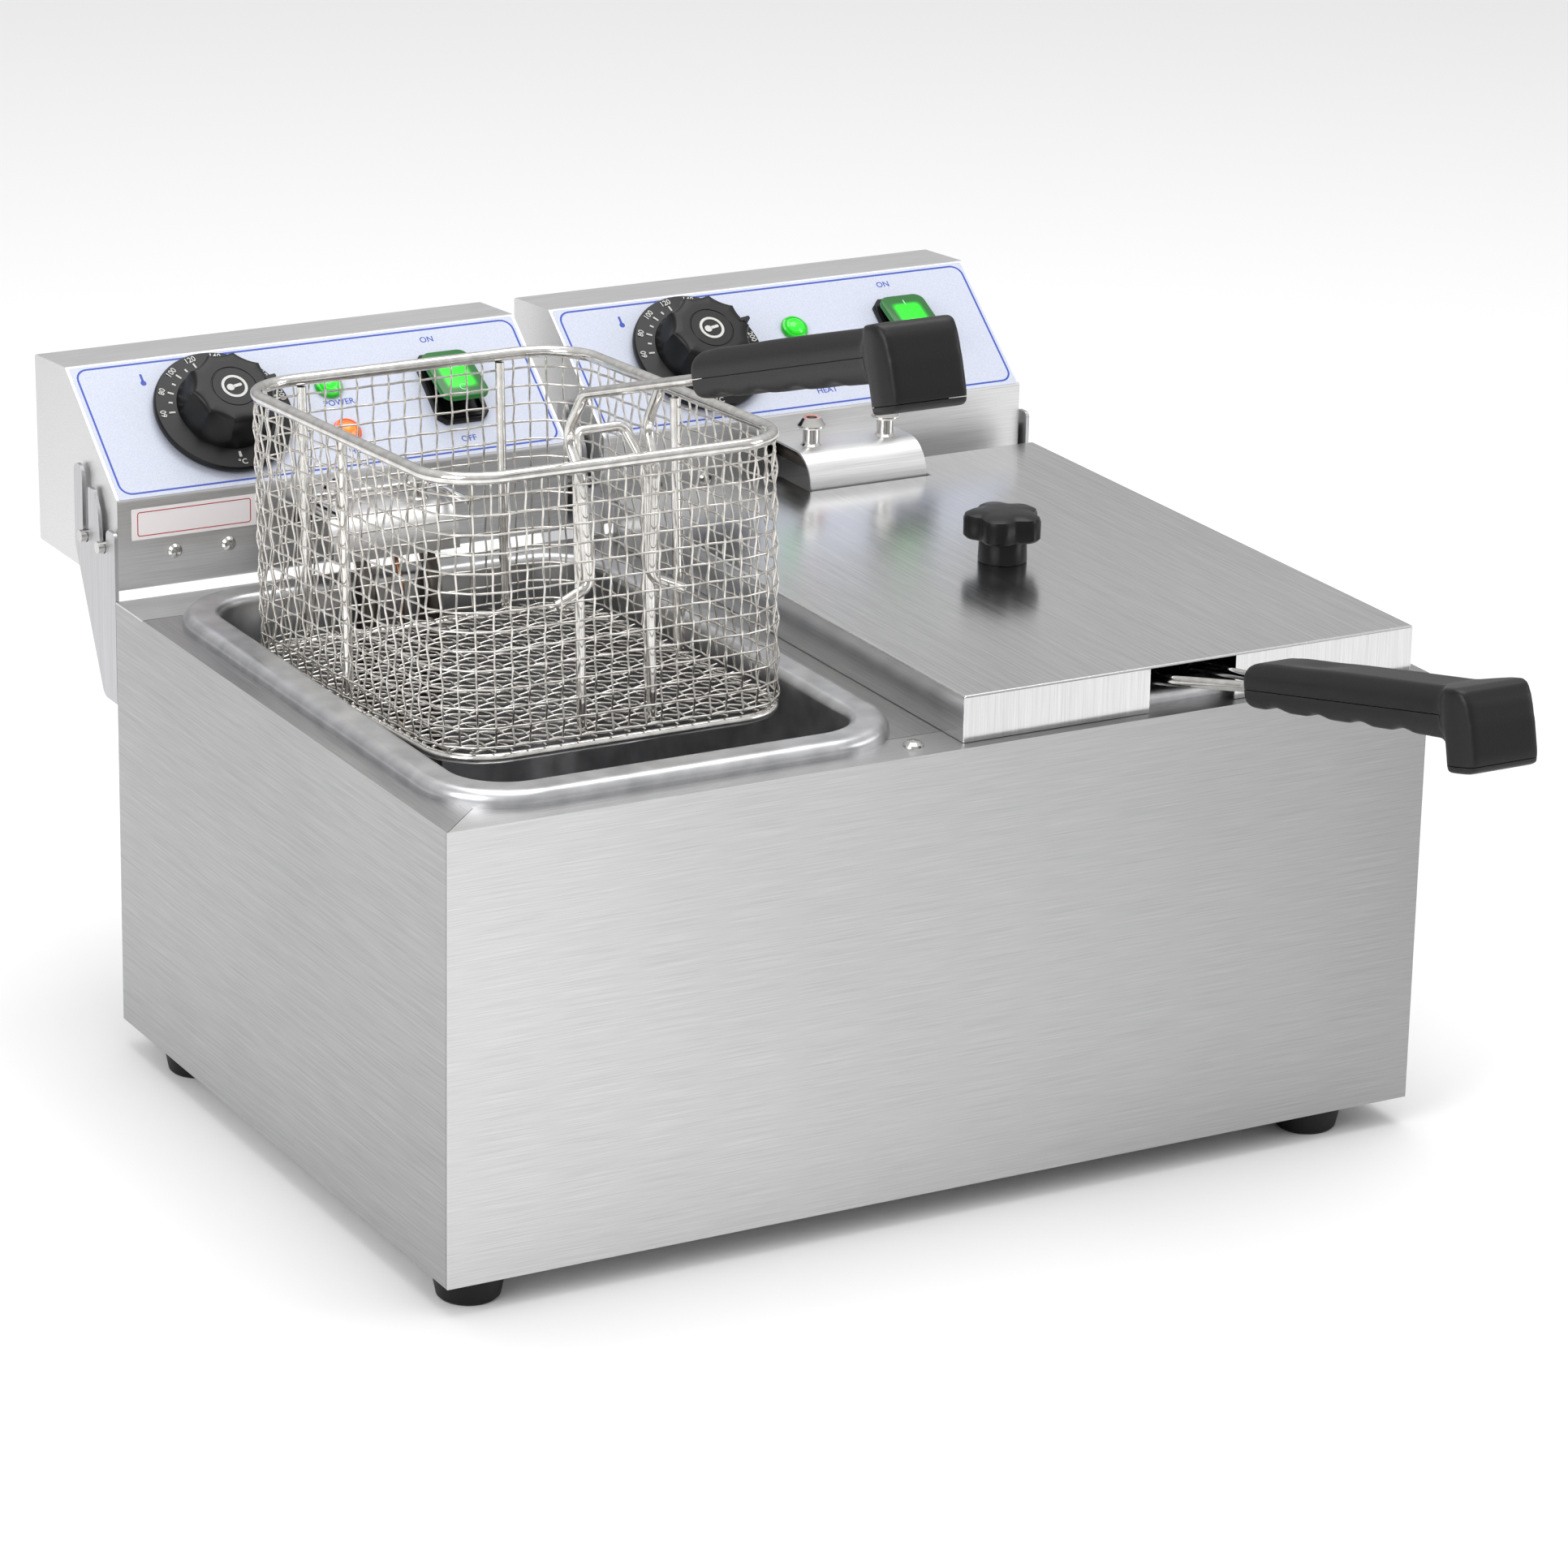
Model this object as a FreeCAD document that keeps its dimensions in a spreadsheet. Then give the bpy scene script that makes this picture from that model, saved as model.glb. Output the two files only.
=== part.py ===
import FreeCAD, Part
import math
import os
import re
from FreeCAD import Placement, Rotation, Vector

# Twin-well electric deep fryer. Millimetres, +Z up, +Y towards the back, front of the casing faces -Y.
# The origin is on the floor, midway between the outermost points in X and in Y.

doc = FreeCAD.newDocument("twin_deep_fryer")

# ---------------------------------------------------------------- driving dimensions

DIMENSIONS = {
    "casing_width": 560,
    "casing_depth": 400,
    "casing_height": 235,
    "casing_front": -136.17,
    "foot_height": 15,
    "sheet_gauge": 1,
    "side_flange": 26,
    "front_flange": 28,
    "rear_flange": 35.5,
    "strip_width": 52,
    "well_centre": 140,
    "well_width": 256,
    "well_length": 364,
    "well_setback": 14,
    "well_corner": 48,
    "well_rim_height": 8,
    "well_rim_width": 20,
    "well_depth": 192,
    "well_gauge": 1.2,
    "head_centre": 143.5,
    "head_width": 265,
    "head_gauge": 1.2,
    "head_front_gap": 5.5,
    "head_lift": 3.4,
    "head_depth": 108.5,
    "head_lower_height": 49.6,
    "head_slant_run": 68.2,
    "head_slant_rise": 56,
    "head_top_drop": 3,
    "pivot_setback": 39.5,
    "pivot_height": 26,
    "pivot_pin_radius": 3.25,
    "pivot_pin_spacing": 23.7,
    "pivot_pin_reach": 3.7,
    "bracket_gauge": 2,
    "cover_offset": 5,
    "cover_width": 73,
    "cover_front": 352.5,
    "cover_top": 43,
    "cover_base": 20,
    "cover_curve": 19,
    "post_spacing": 47,
    "post_setback": 377,
    "post_shank_radius": 4.75,
    "post_head_radius": 8,
    "post_reach": 15.5,
    "element_radius": 4.25,
    "element_floor_gap": 11,
    "knob_offset": -57,
    "knob_skirt_radius": 38.5,
    "knob_grip_radius": 26,
    "lamp_offset": 9,
    "switch_offset": 78,
    "lid_centre": 139.7,
    "lid_width": 267.4,
    "lid_front": 7,
    "lid_length": 378,
    "lid_height": 24.5,
    "lid_notch": 51,
    "basket_width": 198,
    "basket_length": 255,
    "basket_height": 143,
    "basket_corner": 35,
    "rim_wire_radius": 3.25,
    "mesh_gauge": 1.8,
    "frame_wire_radius": 2.5,
    "handle_wire_radius": 2.75,
}

sheet = doc.addObject("Spreadsheet::Sheet", "Dims")
for row, (alias, number) in enumerate(DIMENSIONS.items(), start=1):
    sheet.set(f"A{row}", alias)
    sheet.set(f"B{row}", str(number))
    sheet.setAlias(f"B{row}", alias)
doc.recompute()


def size(alias):
    """Read one driving dimension back from the sheet."""
    return float(sheet.get(alias))


# ---------------------------------------------------------------- how the pieces are made

ALIASES = re.compile(r"\b(" + "|".join(DIMENSIONS) + r")\b")
NO_TURN = Rotation()
nodes = []


def bind(thing, prop, amount):
    """Set a property: text is an expression over the sheet, a number is taken as it is."""
    if isinstance(amount, str):
        thing.setExpression(prop, ALIASES.sub(r"Dims.\1", amount))
    else:
        setattr(thing, prop, amount)


def stand_at(thing, at):
    """Move a primitive: each coordinate is an expression over the sheet or a number."""
    thing.Placement.Base = Vector(*(0 if isinstance(amount, str) else amount for amount in at))
    for axis, amount in zip("xyz", at):
        if isinstance(amount, str):
            bind(thing, f"Placement.Base.{axis}", amount)
    return thing


def block(name, length, width, height, at):
    """A box with its lowest corner at `at`."""
    solid = doc.addObject("Part::Box", name)
    for prop, amount in (("Length", length), ("Width", width), ("Height", height)):
        bind(solid, prop, amount)
    return stand_at(solid, at)


def rod(name, radius, length, at, along="z"):
    """A cylinder that starts at `at` and runs along x, y or z."""
    solid = doc.addObject("Part::Cylinder", name)
    bind(solid, "Radius", radius)
    bind(solid, "Height", length)
    towards = {"x": Vector(1, 0, 0), "y": Vector(0, 1, 0), "z": Vector(0, 0, 1)}[along]
    solid.Placement = Placement(Vector(), Rotation(Vector(0, 0, 1), towards))
    return stand_at(solid, at)


def cut(name, base, *tools):
    result = doc.addObject("Part::Cut", name)
    result.Base = base
    result.Tool = tools[0] if len(tools) == 1 else join(name + "_tools", *tools)
    return result


def join(name, *solids):
    result = doc.addObject("Part::MultiFuse", name)
    result.Shapes = list(solids)
    return result


def group(name, *solids):
    """Separate solids that share one node."""
    result = doc.addObject("Part::Compound", name)
    result.Links = list(solids)
    return result


def made(name, shape, place=None):
    """A solid that was shaped in code from the sheet's sizes."""
    result = doc.addObject("Part::Feature", name)
    result.Shape = shape
    if place:
        result.Placement = place
    return result


def node(label, thing, place=None):
    """Name a finished piece, and put it in its place."""
    thing.Label = label
    if place:
        thing.Placement = place
    nodes.append(thing)
    return thing


def outline(*corners):
    """Closed outline of straight runs; a corner is (u, v) or (u, v, radius)."""
    count = len(corners)
    starts, ends, arcs = [], [], []
    for index, corner in enumerate(corners):
        here = Vector(corner[0], corner[1], 0)
        before = Vector(*corners[index - 1][:2], 0) - here
        after = Vector(*corners[(index + 1) % count][:2], 0) - here
        radius = corner[2] if len(corner) > 2 else 0
        before.normalize()
        after.normalize()
        if not radius:
            starts.append(here)
            ends.append(here)
            arcs.append(None)
            continue
        half = before.getAngle(after) / 2
        reach = radius / math.tan(half)
        middle = before + after
        middle.normalize()
        nearest = here + middle * (radius / math.sin(half) - radius)
        starts.append(here + before * reach)
        ends.append(here + after * reach)
        arcs.append(Part.Arc(starts[-1], nearest, ends[-1]))
    edges = []
    for index in range(count):
        following = (index + 1) % count
        if arcs[index]:
            edges.append(arcs[index])
        if ends[index].distanceToPoint(starts[following]) > 1e-6:
            edges.append(Part.LineSegment(ends[index], starts[following]))
    return edges


def rounded_rectangle(width, length, radius, centre=(0, 0)):
    u, v = centre
    half_u, half_v = width / 2, length / 2
    corners = ((-half_u, -half_v), (half_u, -half_v), (half_u, half_v), (-half_u, half_v))
    return outline(*((u + du, v + dv, radius) for du, dv in corners))


def feature(body, kind, plane, edges, length, offset=0, both_ways=False):
    """Pad or pocket an outline that lies on one of the body's own origin planes."""
    sketch = body.newObject("Sketcher::SketchObject", f"{body.Name}_outline")
    support = next(item for item in body.Origin.OriginFeatures if item.Role == plane)
    sketch.AttachmentSupport = [(support, "")]
    sketch.MapMode = "FlatFace"
    sketch.AttachmentOffset = Placement(Vector(0, 0, offset), NO_TURN)
    sketch.addGeometry(edges)
    step = body.newObject(f"PartDesign::{kind}", f"{body.Name}_{kind.lower()}")
    step.Profile = sketch
    bind(step, "Length", length)
    step.Midplane = both_ways
    sketch.Visibility = False
    return step


def new_body(name):
    return doc.addObject("PartDesign::Body", name)


def padded(name, plane, edges, length, offset=0, both_ways=False):
    body = new_body(name)
    feature(body, "Pad", plane, edges, length, offset, both_ways)
    return body


def round_edges(body, radius, test):
    """Fillet the edges of the body so far whose mid point and direction pass the test."""
    doc.recompute()
    base = body.Tip
    chosen = [f"Edge{number}" for number, edge in enumerate(base.Shape.Edges, start=1) if test(edge)]
    fillet = body.newObject("PartDesign::Fillet", f"{body.Name}_fillet")
    fillet.Base = (base, chosen)
    bind(fillet, "Radius", radius)
    return fillet


def at_height(edge, height):
    box = edge.BoundBox
    return abs(box.ZMin - height) < 0.01 and abs(box.ZMax - height) < 0.01


def turned(name, profile, at=(0, 0, 0)):
    """A solid of revolution about its own Z axis, from (radius, height) corners."""
    points = [Vector(radius + at[0], at[1], height + at[2]) for radius, height in profile]
    face = Part.Face(Part.makePolygon(points + points[:1]))
    return made(name, face.revolve(Vector(*at), Vector(0, 0, 1), 360))


def bent_rod(points, radius, bend=0):
    """A round wire along straight runs; a point is (x, y, z) or (x, y, z, its own bend radius)."""
    corners = [Vector(*point[:3]) for point in points]
    edges = []
    last = corners[0]
    for index in range(1, len(corners) - 1):
        here = corners[index]
        arc_radius = points[index][3] if len(points[index]) > 3 else bend
        back = (corners[index - 1] - here).normalize()
        on = (corners[index + 1] - here).normalize()
        half = back.getAngle(on) / 2
        reach = arc_radius / math.tan(half)
        middle = (back + on).normalize()
        start, end = here + back * reach, here + on * reach
        nearest = here + middle * (arc_radius / math.sin(half) - arc_radius)
        if last.distanceToPoint(start) > 1e-6:
            edges.append(Part.LineSegment(last, start).toShape())
        edges.append(Part.Arc(start, nearest, end).toShape())
        last = end
    edges.append(Part.LineSegment(last, corners[-1]).toShape())
    path = Part.Wire(edges)
    section = Part.Wire(Part.Circle(corners[0], corners[1] - corners[0], radius).toShape())
    return path.makePipeShell([section], True, False)


def wire_ring(width, length, corner, radius, height):
    """A closed round wire bent to a rounded rectangle, which starts at the middle of its front side."""
    half_u, half_v = width / 2, length / 2
    corners = ((0, -half_v), (half_u, -half_v, corner), (half_u, half_v, corner),
               (-half_u, half_v, corner), (-half_u, -half_v, corner))
    path = Part.Wire([edge.toShape() for edge in outline(*corners)])
    path.translate(Vector(0, 0, height))
    section = Part.Wire(Part.Circle(Vector(0, -half_v, height), Vector(1, 0, 0), radius).toShape())
    return path.makePipeShell([section], True, False)


# ---------------------------------------------------------------- places that many pieces share

FRONT = size("casing_front")
BACK = FRONT + size("casing_depth")
DECK = size("foot_height") + size("casing_height")
HALF_WIDTH = size("casing_width") / 2
GAUGE = size("sheet_gauge")
SIDES = (("left", -1), ("right", 1))


def along(setback):
    """Y of a point that lies `setback` behind the front of the casing."""
    return FRONT + setback


# ---------------------------------------------------------------- casing: folded stainless sheets

seam = 0.4
flange = size("side_flange")
front_flange = size("front_flange")
strip_start = along(size("casing_depth") - size("rear_flange"))

front_panel = padded("front_panel", "YZ_Plane", outline(
    (FRONT, size("foot_height")), (FRONT + GAUGE, size("foot_height")), (FRONT + GAUGE, DECK), (FRONT, DECK)),
    "casing_width", both_ways=True)
feature(front_panel, "Pad", "XY_Plane", outline(
    (-HALF_WIDTH, FRONT), (HALF_WIDTH, FRONT), (HALF_WIDTH - flange, FRONT + flange),
    (HALF_WIDTH - flange, FRONT + front_flange), (flange - HALF_WIDTH, FRONT + front_flange),
    (flange - HALF_WIDTH, FRONT + flange)), "sheet_gauge", DECK - GAUGE)
node("front_panel", front_panel)

for side, sign in SIDES:
    outer = sign * HALF_WIDTH
    inner = sign * (HALF_WIDTH - GAUGE)
    panel = padded(f"{side}_panel", "XY_Plane", outline(
        (outer, FRONT + GAUGE + seam), (inner, FRONT + GAUGE + seam), (inner, BACK), (outer, BACK)),
        "casing_height", size("foot_height"))
    feature(panel, "Pad", "XY_Plane", outline(
        (outer, FRONT + GAUGE + seam), (sign * (HALF_WIDTH - GAUGE), FRONT + GAUGE + seam),
        (sign * (HALF_WIDTH - flange), FRONT + flange + seam), (sign * (HALF_WIDTH - flange), strip_start - seam),
        (outer, strip_start - seam)), "sheet_gauge", DECK - GAUGE)
    feature(panel, "Pocket", "XY_Plane", outline(
        (outer + sign, strip_start - seam), (sign * (HALF_WIDTH - 5), strip_start - seam),
        (sign * (HALF_WIDTH - 5), BACK + 1), (outer + sign, BACK + 1)), "sheet_gauge", DECK)
    node(f"{side}_side_panel", panel)

bracket_lines = tuple(sign * (HALF_WIDTH - inset) for sign in (-1, 1) for inset in (12, 271 - 12))
bracket_screw_heights = (DECK - 14, DECK - 42)
screw_radius = 2
screw_hole = screw_radius + 0.1


def screw_holes(name, front, length):
    """Cylinders along Y through the back panel and the bracket feet."""
    return [rod(f"{name}_{column}_{level}", screw_hole, length, (column, front, level), "y")
            for column in bracket_lines for level in bracket_screw_heights]


rear_panel = cut("rear_panel", join(
    "rear_sheets",
    block("rear_sheet", f"casing_width - 2 * sheet_gauge - {2 * seam}", "sheet_gauge",
          "casing_height - sheet_gauge",
          (f"-casing_width / 2 + sheet_gauge + {seam}", "casing_front + casing_depth - sheet_gauge",
           "foot_height")),
    block("rear_strip", "casing_width", "rear_flange", "sheet_gauge",
          ("-casing_width / 2", "casing_front + casing_depth - rear_flange", DECK - GAUGE))),
    *screw_holes("rear_hole", BACK - 5, 10))
node("rear_panel", rear_panel)

node("base_plate", block(
    "base_plate", f"casing_width - 2 * sheet_gauge - {2 * seam}", f"casing_depth - 2 * sheet_gauge - {2 * seam}",
    "sheet_gauge", (f"-casing_width / 2 + sheet_gauge + {seam}", f"casing_front + sheet_gauge + {seam}",
                    "foot_height + 1")))

strip_length = strip_start - seam - (FRONT + front_flange + seam)
strip_front = FRONT + front_flange + seam
strip_leg = 14
node("centre_deck_strip", join(
    "centre_deck_strip",
    block("strip_top", "strip_width", strip_length, "sheet_gauge", ("-strip_width / 2", strip_front, DECK - GAUGE)),
    *(block(f"strip_leg_{left}", "sheet_gauge", strip_length, strip_leg,
            (left, strip_front, DECK - strip_leg)) for left in ("-strip_width / 2", "strip_width / 2 - sheet_gauge"))))

rivet_radius, rivet_height, rivet_inset, rivet_offset = 5.5, 3, 15, 18
node("deck_rivets", group("deck_rivets", *(
    turned(f"deck_rivet_{sign}", (
        (0, 0), (rivet_radius, 0), (rivet_radius * 0.92, rivet_height * 0.4), (rivet_radius * 0.6, rivet_height * 0.85),
        (0, rivet_height)), (sign * rivet_offset, along(rivet_inset), DECK)) for side, sign in SIDES)))

foot_places = [(x, along(y)) for x in (22 - HALF_WIDTH, 232) for y in (22, 350)]
foot_top = size("foot_height") + 1
feet, foot_screws = [], []
for number, (x, y) in enumerate(foot_places):
    feet.append(turned(f"foot_{number}", (
        (screw_hole, 6), (5.5, 6), (5.5, 0), (14.5, 0), (16, 1.5), (19, foot_top), (screw_hole, foot_top)), (x, y, 0)))
    foot_screws.append(turned(f"foot_screw_{number}", (
        (0, 3), (4.6, 3), (4.6, 6), (screw_radius, 6), (screw_radius, foot_top), (0, foot_top)), (x, y, 0)))
node("feet", group("feet", *feet))
node("foot_screws", group("foot_screws", *foot_screws))

# ---------------------------------------------------------------- oil wells: drawn pots with a rolled rim

rim_width = size("well_rim_width")
well_gauge = size("well_gauge")
well_middle = along(size("well_setback") + size("well_length") / 2)
rim_top = DECK + size("well_rim_height")
cavity = (size("well_width") - 2 * rim_width, size("well_length") - 2 * rim_width, size("well_corner") - rim_width)
well_floor = DECK - size("well_depth")
for side, sign in SIDES:
    centre = (sign * size("well_centre"), well_middle)
    pot = padded(f"{side}_pot", "XY_Plane", rounded_rectangle(
        size("well_width"), size("well_length"), size("well_corner"), centre), "well_rim_height", DECK)
    round_edges(pot, 6, lambda edge: at_height(edge, rim_top))
    feature(pot, "Pad", "XY_Plane", rounded_rectangle(
        cavity[0] + 2 * well_gauge, cavity[1] + 2 * well_gauge, cavity[2] + well_gauge, centre),
        "well_depth", well_floor)
    round_edges(pot, 20, lambda edge: at_height(edge, well_floor))
    oil_space = padded(f"{side}_oil_space", "XY_Plane", rounded_rectangle(*cavity, centre),
                       "well_depth + well_rim_height - well_gauge + 5", well_floor + well_gauge)
    round_edges(oil_space, 18, lambda edge: at_height(edge, well_floor + well_gauge))
    open_pot = cut(f"{side}_open_pot", pot, oil_space)
    doc.recompute()
    well = doc.addObject("Part::Fillet", f"{side}_well")
    well.Base = open_pot
    well.Edges = [(number, 4.5, 4.5) for number, edge in enumerate(open_pot.Shape.Edges, start=1)
                  if at_height(edge, rim_top) and edge.BoundBox.DiagonalLength > 1
                  and edge.distToShape(oil_space.Shape)[0] < 0.01]
    node(f"{side}_well", well)

# ---------------------------------------------------------------- pivot brackets behind the casing

pivot_y = BACK + size("pivot_setback")
pivot_z = DECK + size("pivot_height")
pin_radius = size("pivot_pin_radius")
pin_spacing = size("pivot_pin_spacing")
plate = size("bracket_gauge")
slot_half = pin_radius + 0.5
slot_bottom = pivot_z - pin_radius - 0.35
arm_top = DECK + 63
finger_top = DECK + 54
plate_front = BACK + 0.3
foot_width = 26
foot_levels = (DECK - 55, DECK - 3)
inner_line = 7

bracket_outline = (
    (plate_front, DECK - 57), (BACK + 18, DECK - 57, 7), (BACK + 54.5, DECK + 18, 8),
    (BACK + 54.5, arm_top, 5), (pivot_y + slot_half, arm_top, 5), (pivot_y + slot_half, slot_bottom, slot_half - 0.1),
    (pivot_y - slot_half, slot_bottom, slot_half - 0.1), (pivot_y - slot_half, finger_top, 1.5),
    (BACK + 28.5, finger_top, 2), (BACK + 22.3, DECK + 43, 10),
    (pivot_y - pin_spacing + slot_half, slot_bottom, slot_half - 0.1),
    (pivot_y - pin_spacing - slot_half, slot_bottom, slot_half - 0.1),
    (pivot_y - pin_spacing - slot_half, DECK + 37, 4), (plate_front, DECK + 37, 3))

for side, sign in SIDES:
    brackets = []
    for line, towards in ((HALF_WIDTH, -sign), (inner_line, sign)):
        outer = sign * line
        bracket = new_body(f"{side}_bracket_{line:.0f}")
        feature(bracket, "Pad", "YZ_Plane", outline(*bracket_outline), "bracket_gauge",
                min(outer, outer + towards * plate))
        feature(bracket, "Pad", "YZ_Plane", outline(
            (plate_front, foot_levels[0]), (plate_front + plate, foot_levels[0]),
            (plate_front + plate, foot_levels[1]), (plate_front, foot_levels[1])), foot_width,
            min(outer, outer + towards * foot_width))
        brackets.append(bracket)
    holes = [hole for hole in screw_holes(f"{side}_bracket_hole", BACK - 1, 6) if hole.Placement.Base.x * sign > 0]
    node(f"{side}_pivot_brackets", cut(f"{side}_pivot_brackets", group(f"{side}_bracket_pair", *brackets), *holes))


def pan_screw(name, place, length=10, head=4):
    """Pan-head cross-recess screw: its head stands on z = 0, its shank runs to -Z."""
    body = turned(f"{name}_blank", ((0, -length), (screw_radius, -length), (screw_radius, 0), (head, 0),
                                    (head, 1.2), (head * 0.7, 2.5), (0, 2.8)))
    slots = [block(f"{name}_slot_{turn}", *((4.4, 0.9) if turn else (0.9, 4.4)), 2,
                   (-2.2, -0.45, 1.6) if turn else (-0.45, -2.2, 1.6)) for turn in (0, 1)]
    screw = cut(name, body, *slots)
    screw.Placement = place
    return screw


FACING_BACK = Rotation(Vector(1, 0, 0), -90)
FACING_FRONT = Rotation(Vector(1, 0, 0), 90)
node("bracket_screws", group("bracket_screws", *(
    pan_screw(f"bracket_screw_{column + HALF_WIDTH:.0f}_{level:.0f}",
              Placement(Vector(column, plate_front + plate, level), FACING_BACK))
    for column in bracket_lines for level in bracket_screw_heights)))

# ---------------------------------------------------------------- control heads

head_gauge = size("head_gauge")
half_head = size("head_width") / 2
head_front = BACK + size("head_front_gap")
head_base = DECK + size("head_lift")
slant_foot = (head_front, head_base + size("head_lower_height"))
slant_top = (slant_foot[0] + size("head_slant_run"), slant_foot[1] + size("head_slant_rise"))
head_back = (head_front + size("head_depth"), head_front + size("head_depth") + 2)
back_top = slant_top[1] - size("head_top_drop")
slope = math.degrees(math.atan2(size("head_slant_rise"), size("head_slant_run")))
UP_THE_SLOPE = Rotation(Vector(1, 0, 0), slope)


def on_fascia(offset, distance, rise=0):
    """Place on a head's sloping front: `distance` up the slope, +Z out of the panel."""
    base = Vector(offset, slant_foot[0], slant_foot[1]) + UP_THE_SLOPE.multVec(Vector(0, distance, rise))
    return Placement(base, UP_THE_SLOPE)


def back_at(height):
    """Y of the head's leaning back face at one height."""
    share = (height - head_base) / (back_top - head_base)
    return head_back[0] + share * (head_back[1] - head_back[0])


knob_place = on_fascia(size("knob_offset"), 45)
lamp_places = {"power": on_fascia(size("lamp_offset"), 55.3), "heat": on_fascia(size("lamp_offset"), 24.9)}
switch_place = on_fascia(size("switch_offset"), 44)
cover_centre = size("cover_offset")
cover_front = along(size("cover_front"))
cover_top = DECK + size("cover_top")
cover_gauge = 1.2
post_y = along(size("post_setback"))
gland_spot = (-95, DECK + 30)
front_screw_spots = (-100.3, -69.5)
front_screw_height = DECK + 22.2
back_screw_spots = [(x, z) for x in (-122, 122) for z in (head_base + 9, back_top - 9)]
switch_opening = (25, 38)
rocker_pivot, rocker_throw, trunnion = 2.9, 26, 1.2
cap_low, cap_high = 9.5, 12.2

for side, sign in SIDES:
    home = Placement(Vector(sign * size("head_centre"), 0, 0), NO_TURN)

    def at_head(place):
        return home.multiply(place)

    blank = padded(f"{side}_head_blank", "YZ_Plane", outline(
        (head_front, head_base, 1.5), (head_back[0], head_base, 1.5), (head_back[1], back_top, 1.5),
        (slant_top[0], slant_top[1], 3), (slant_foot[0], slant_foot[1], 3)), "head_width", both_ways=True)
    hollow = padded(f"{side}_head_hollow", "YZ_Plane", outline(
        (head_front + head_gauge, head_base + head_gauge), (head_back[1] + 5, head_base + head_gauge),
        (head_back[1] + 5, back_top - head_gauge - 0.3), (slant_top[0] + 0.5, slant_top[1] - head_gauge),
        (slant_foot[0] + head_gauge, slant_foot[1] - 0.5)), "head_width - 2 * head_gauge", both_ways=True)
    tools = [hollow,
             rod(f"{side}_axle_hole", pin_radius + 0.06, "head_width + 10", (-half_head - 5, pivot_y, pivot_z), "x"),
             rod(f"{side}_guide_hole", pin_radius, "head_width + 10",
                 (-half_head - 5, pivot_y - pin_spacing, pivot_z), "x"),
             block(f"{side}_element_hole", 66, 8, 14, (-31, head_front - 3, DECK + 27))]
    tools += [rod(f"{side}_front_hole_{spot}", screw_hole, 8, (spot, head_front - 3, front_screw_height), "y")
              for spot in front_screw_spots]
    fascia_holes = [rod(f"{side}_spindle_hole", 5.6, 10, (0, 0, -6))]
    fascia_holes[0].Placement = knob_place.multiply(fascia_holes[0].Placement)
    for lamp, place in lamp_places.items():
        hole = rod(f"{side}_{lamp}_hole", 6.4, 10, (0, 0, -6))
        hole.Placement = place.multiply(hole.Placement)
        fascia_holes.append(hole)
    opening = block(f"{side}_switch_hole", *switch_opening, 10, (-switch_opening[0] / 2, -switch_opening[1] / 2, -6))
    opening.Placement = switch_place.multiply(opening.Placement)
    node(f"{side}_head_shell", cut(f"{side}_head_shell", blank, *tools, *fascia_holes, opening), home)

    low, high = head_base + head_gauge + 0.3, back_top - head_gauge - 0.6
    plate_blank = padded(f"{side}_back_blank", "YZ_Plane", outline(
        (back_at(low) - head_gauge, low), (back_at(low), low), (back_at(high), high),
        (back_at(high) - head_gauge, high)), f"head_width - 2 * head_gauge - 0.6", both_ways=True)
    vents = [block(f"{side}_vent_{number}", 3, 8, 34, (20 + 9 * number, head_back[0] - 4, DECK + 45))
             for number in range(9)]
    vents.append(rod(f"{side}_gland_hole", 8.1, 12, (gland_spot[0], head_back[0] - 6, gland_spot[1]), "y"))
    vents += [rod(f"{side}_back_hole_{number}", screw_hole, 12, (x, head_back[0] - 6, z), "y")
              for number, (x, z) in enumerate(back_screw_spots)]
    node(f"{side}_head_back_cover", cut(f"{side}_head_back_cover", plate_blank, *vents), home)

    pin_end = half_head + 4 + size("pivot_pin_reach")
    node(f"{side}_pivot_axle", rod(f"{side}_pivot_axle", "pivot_pin_radius", 2 * pin_end,
                                   (-pin_end, pivot_y, pivot_z), "x"))
    nodes[-1].Placement = home.multiply(nodes[-1].Placement)
    guide_length = pin_end - half_head + 12
    node(f"{side}_guide_pins", group(f"{side}_guide_pins", *(
        rod(f"{side}_guide_pin_{end}", "pivot_pin_radius", guide_length,
            (start, pivot_y - pin_spacing, pivot_z), "x")
        for end, start in (("a", -pin_end), ("b", pin_end - guide_length)))), home)

    curve = size("cover_curve")
    strip = outline(
        (head_front, cover_top), (cover_front, cover_top, curve), (cover_front, DECK + size("cover_base")),
        (cover_front + cover_gauge, DECK + size("cover_base")),
        (cover_front + cover_gauge, cover_top - cover_gauge, curve - cover_gauge),
        (head_front, cover_top - cover_gauge))
    cover = padded(f"{side}_element_cover", "YZ_Plane", strip, "cover_width", both_ways=True)
    node(f"{side}_element_cover", cover, at_head(Placement(Vector(cover_centre, 0, 0), NO_TURN)))

    shank, button = size("post_shank_radius"), size("post_head_radius")
    node(f"{side}_hanger_posts", group(f"{side}_hanger_posts", *(
        turned(f"{side}_hanger_post_{end}", (
            (0, 0), (shank + 1.2, 0), (shank, 1.2), (shank, 10), (button - 0.6, 10), (button, 10.8),
            (button, 11.6), (button - 2.8, 15.5), (3, 15.5), (3, 13), (0, 13)),
            (cover_centre + end * size("post_spacing") / 2, post_y, cover_top)) for end in (-1, 1))), home)

    centre = sign * size("well_centre")
    floor_level = well_floor + well_gauge + size("element_floor_gap")
    inside = BACK + 30

    def riser(x):
        """The run from inside the head, through the cover and down the back of the well."""
        return [(x, inside, DECK + 33), (x, along(362), DECK + 33, 8), (x, along(362), DECK + 20, 12),
                (x, along(351), DECK + 2, 12), (x, along(351), floor_level, 12)]

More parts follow.
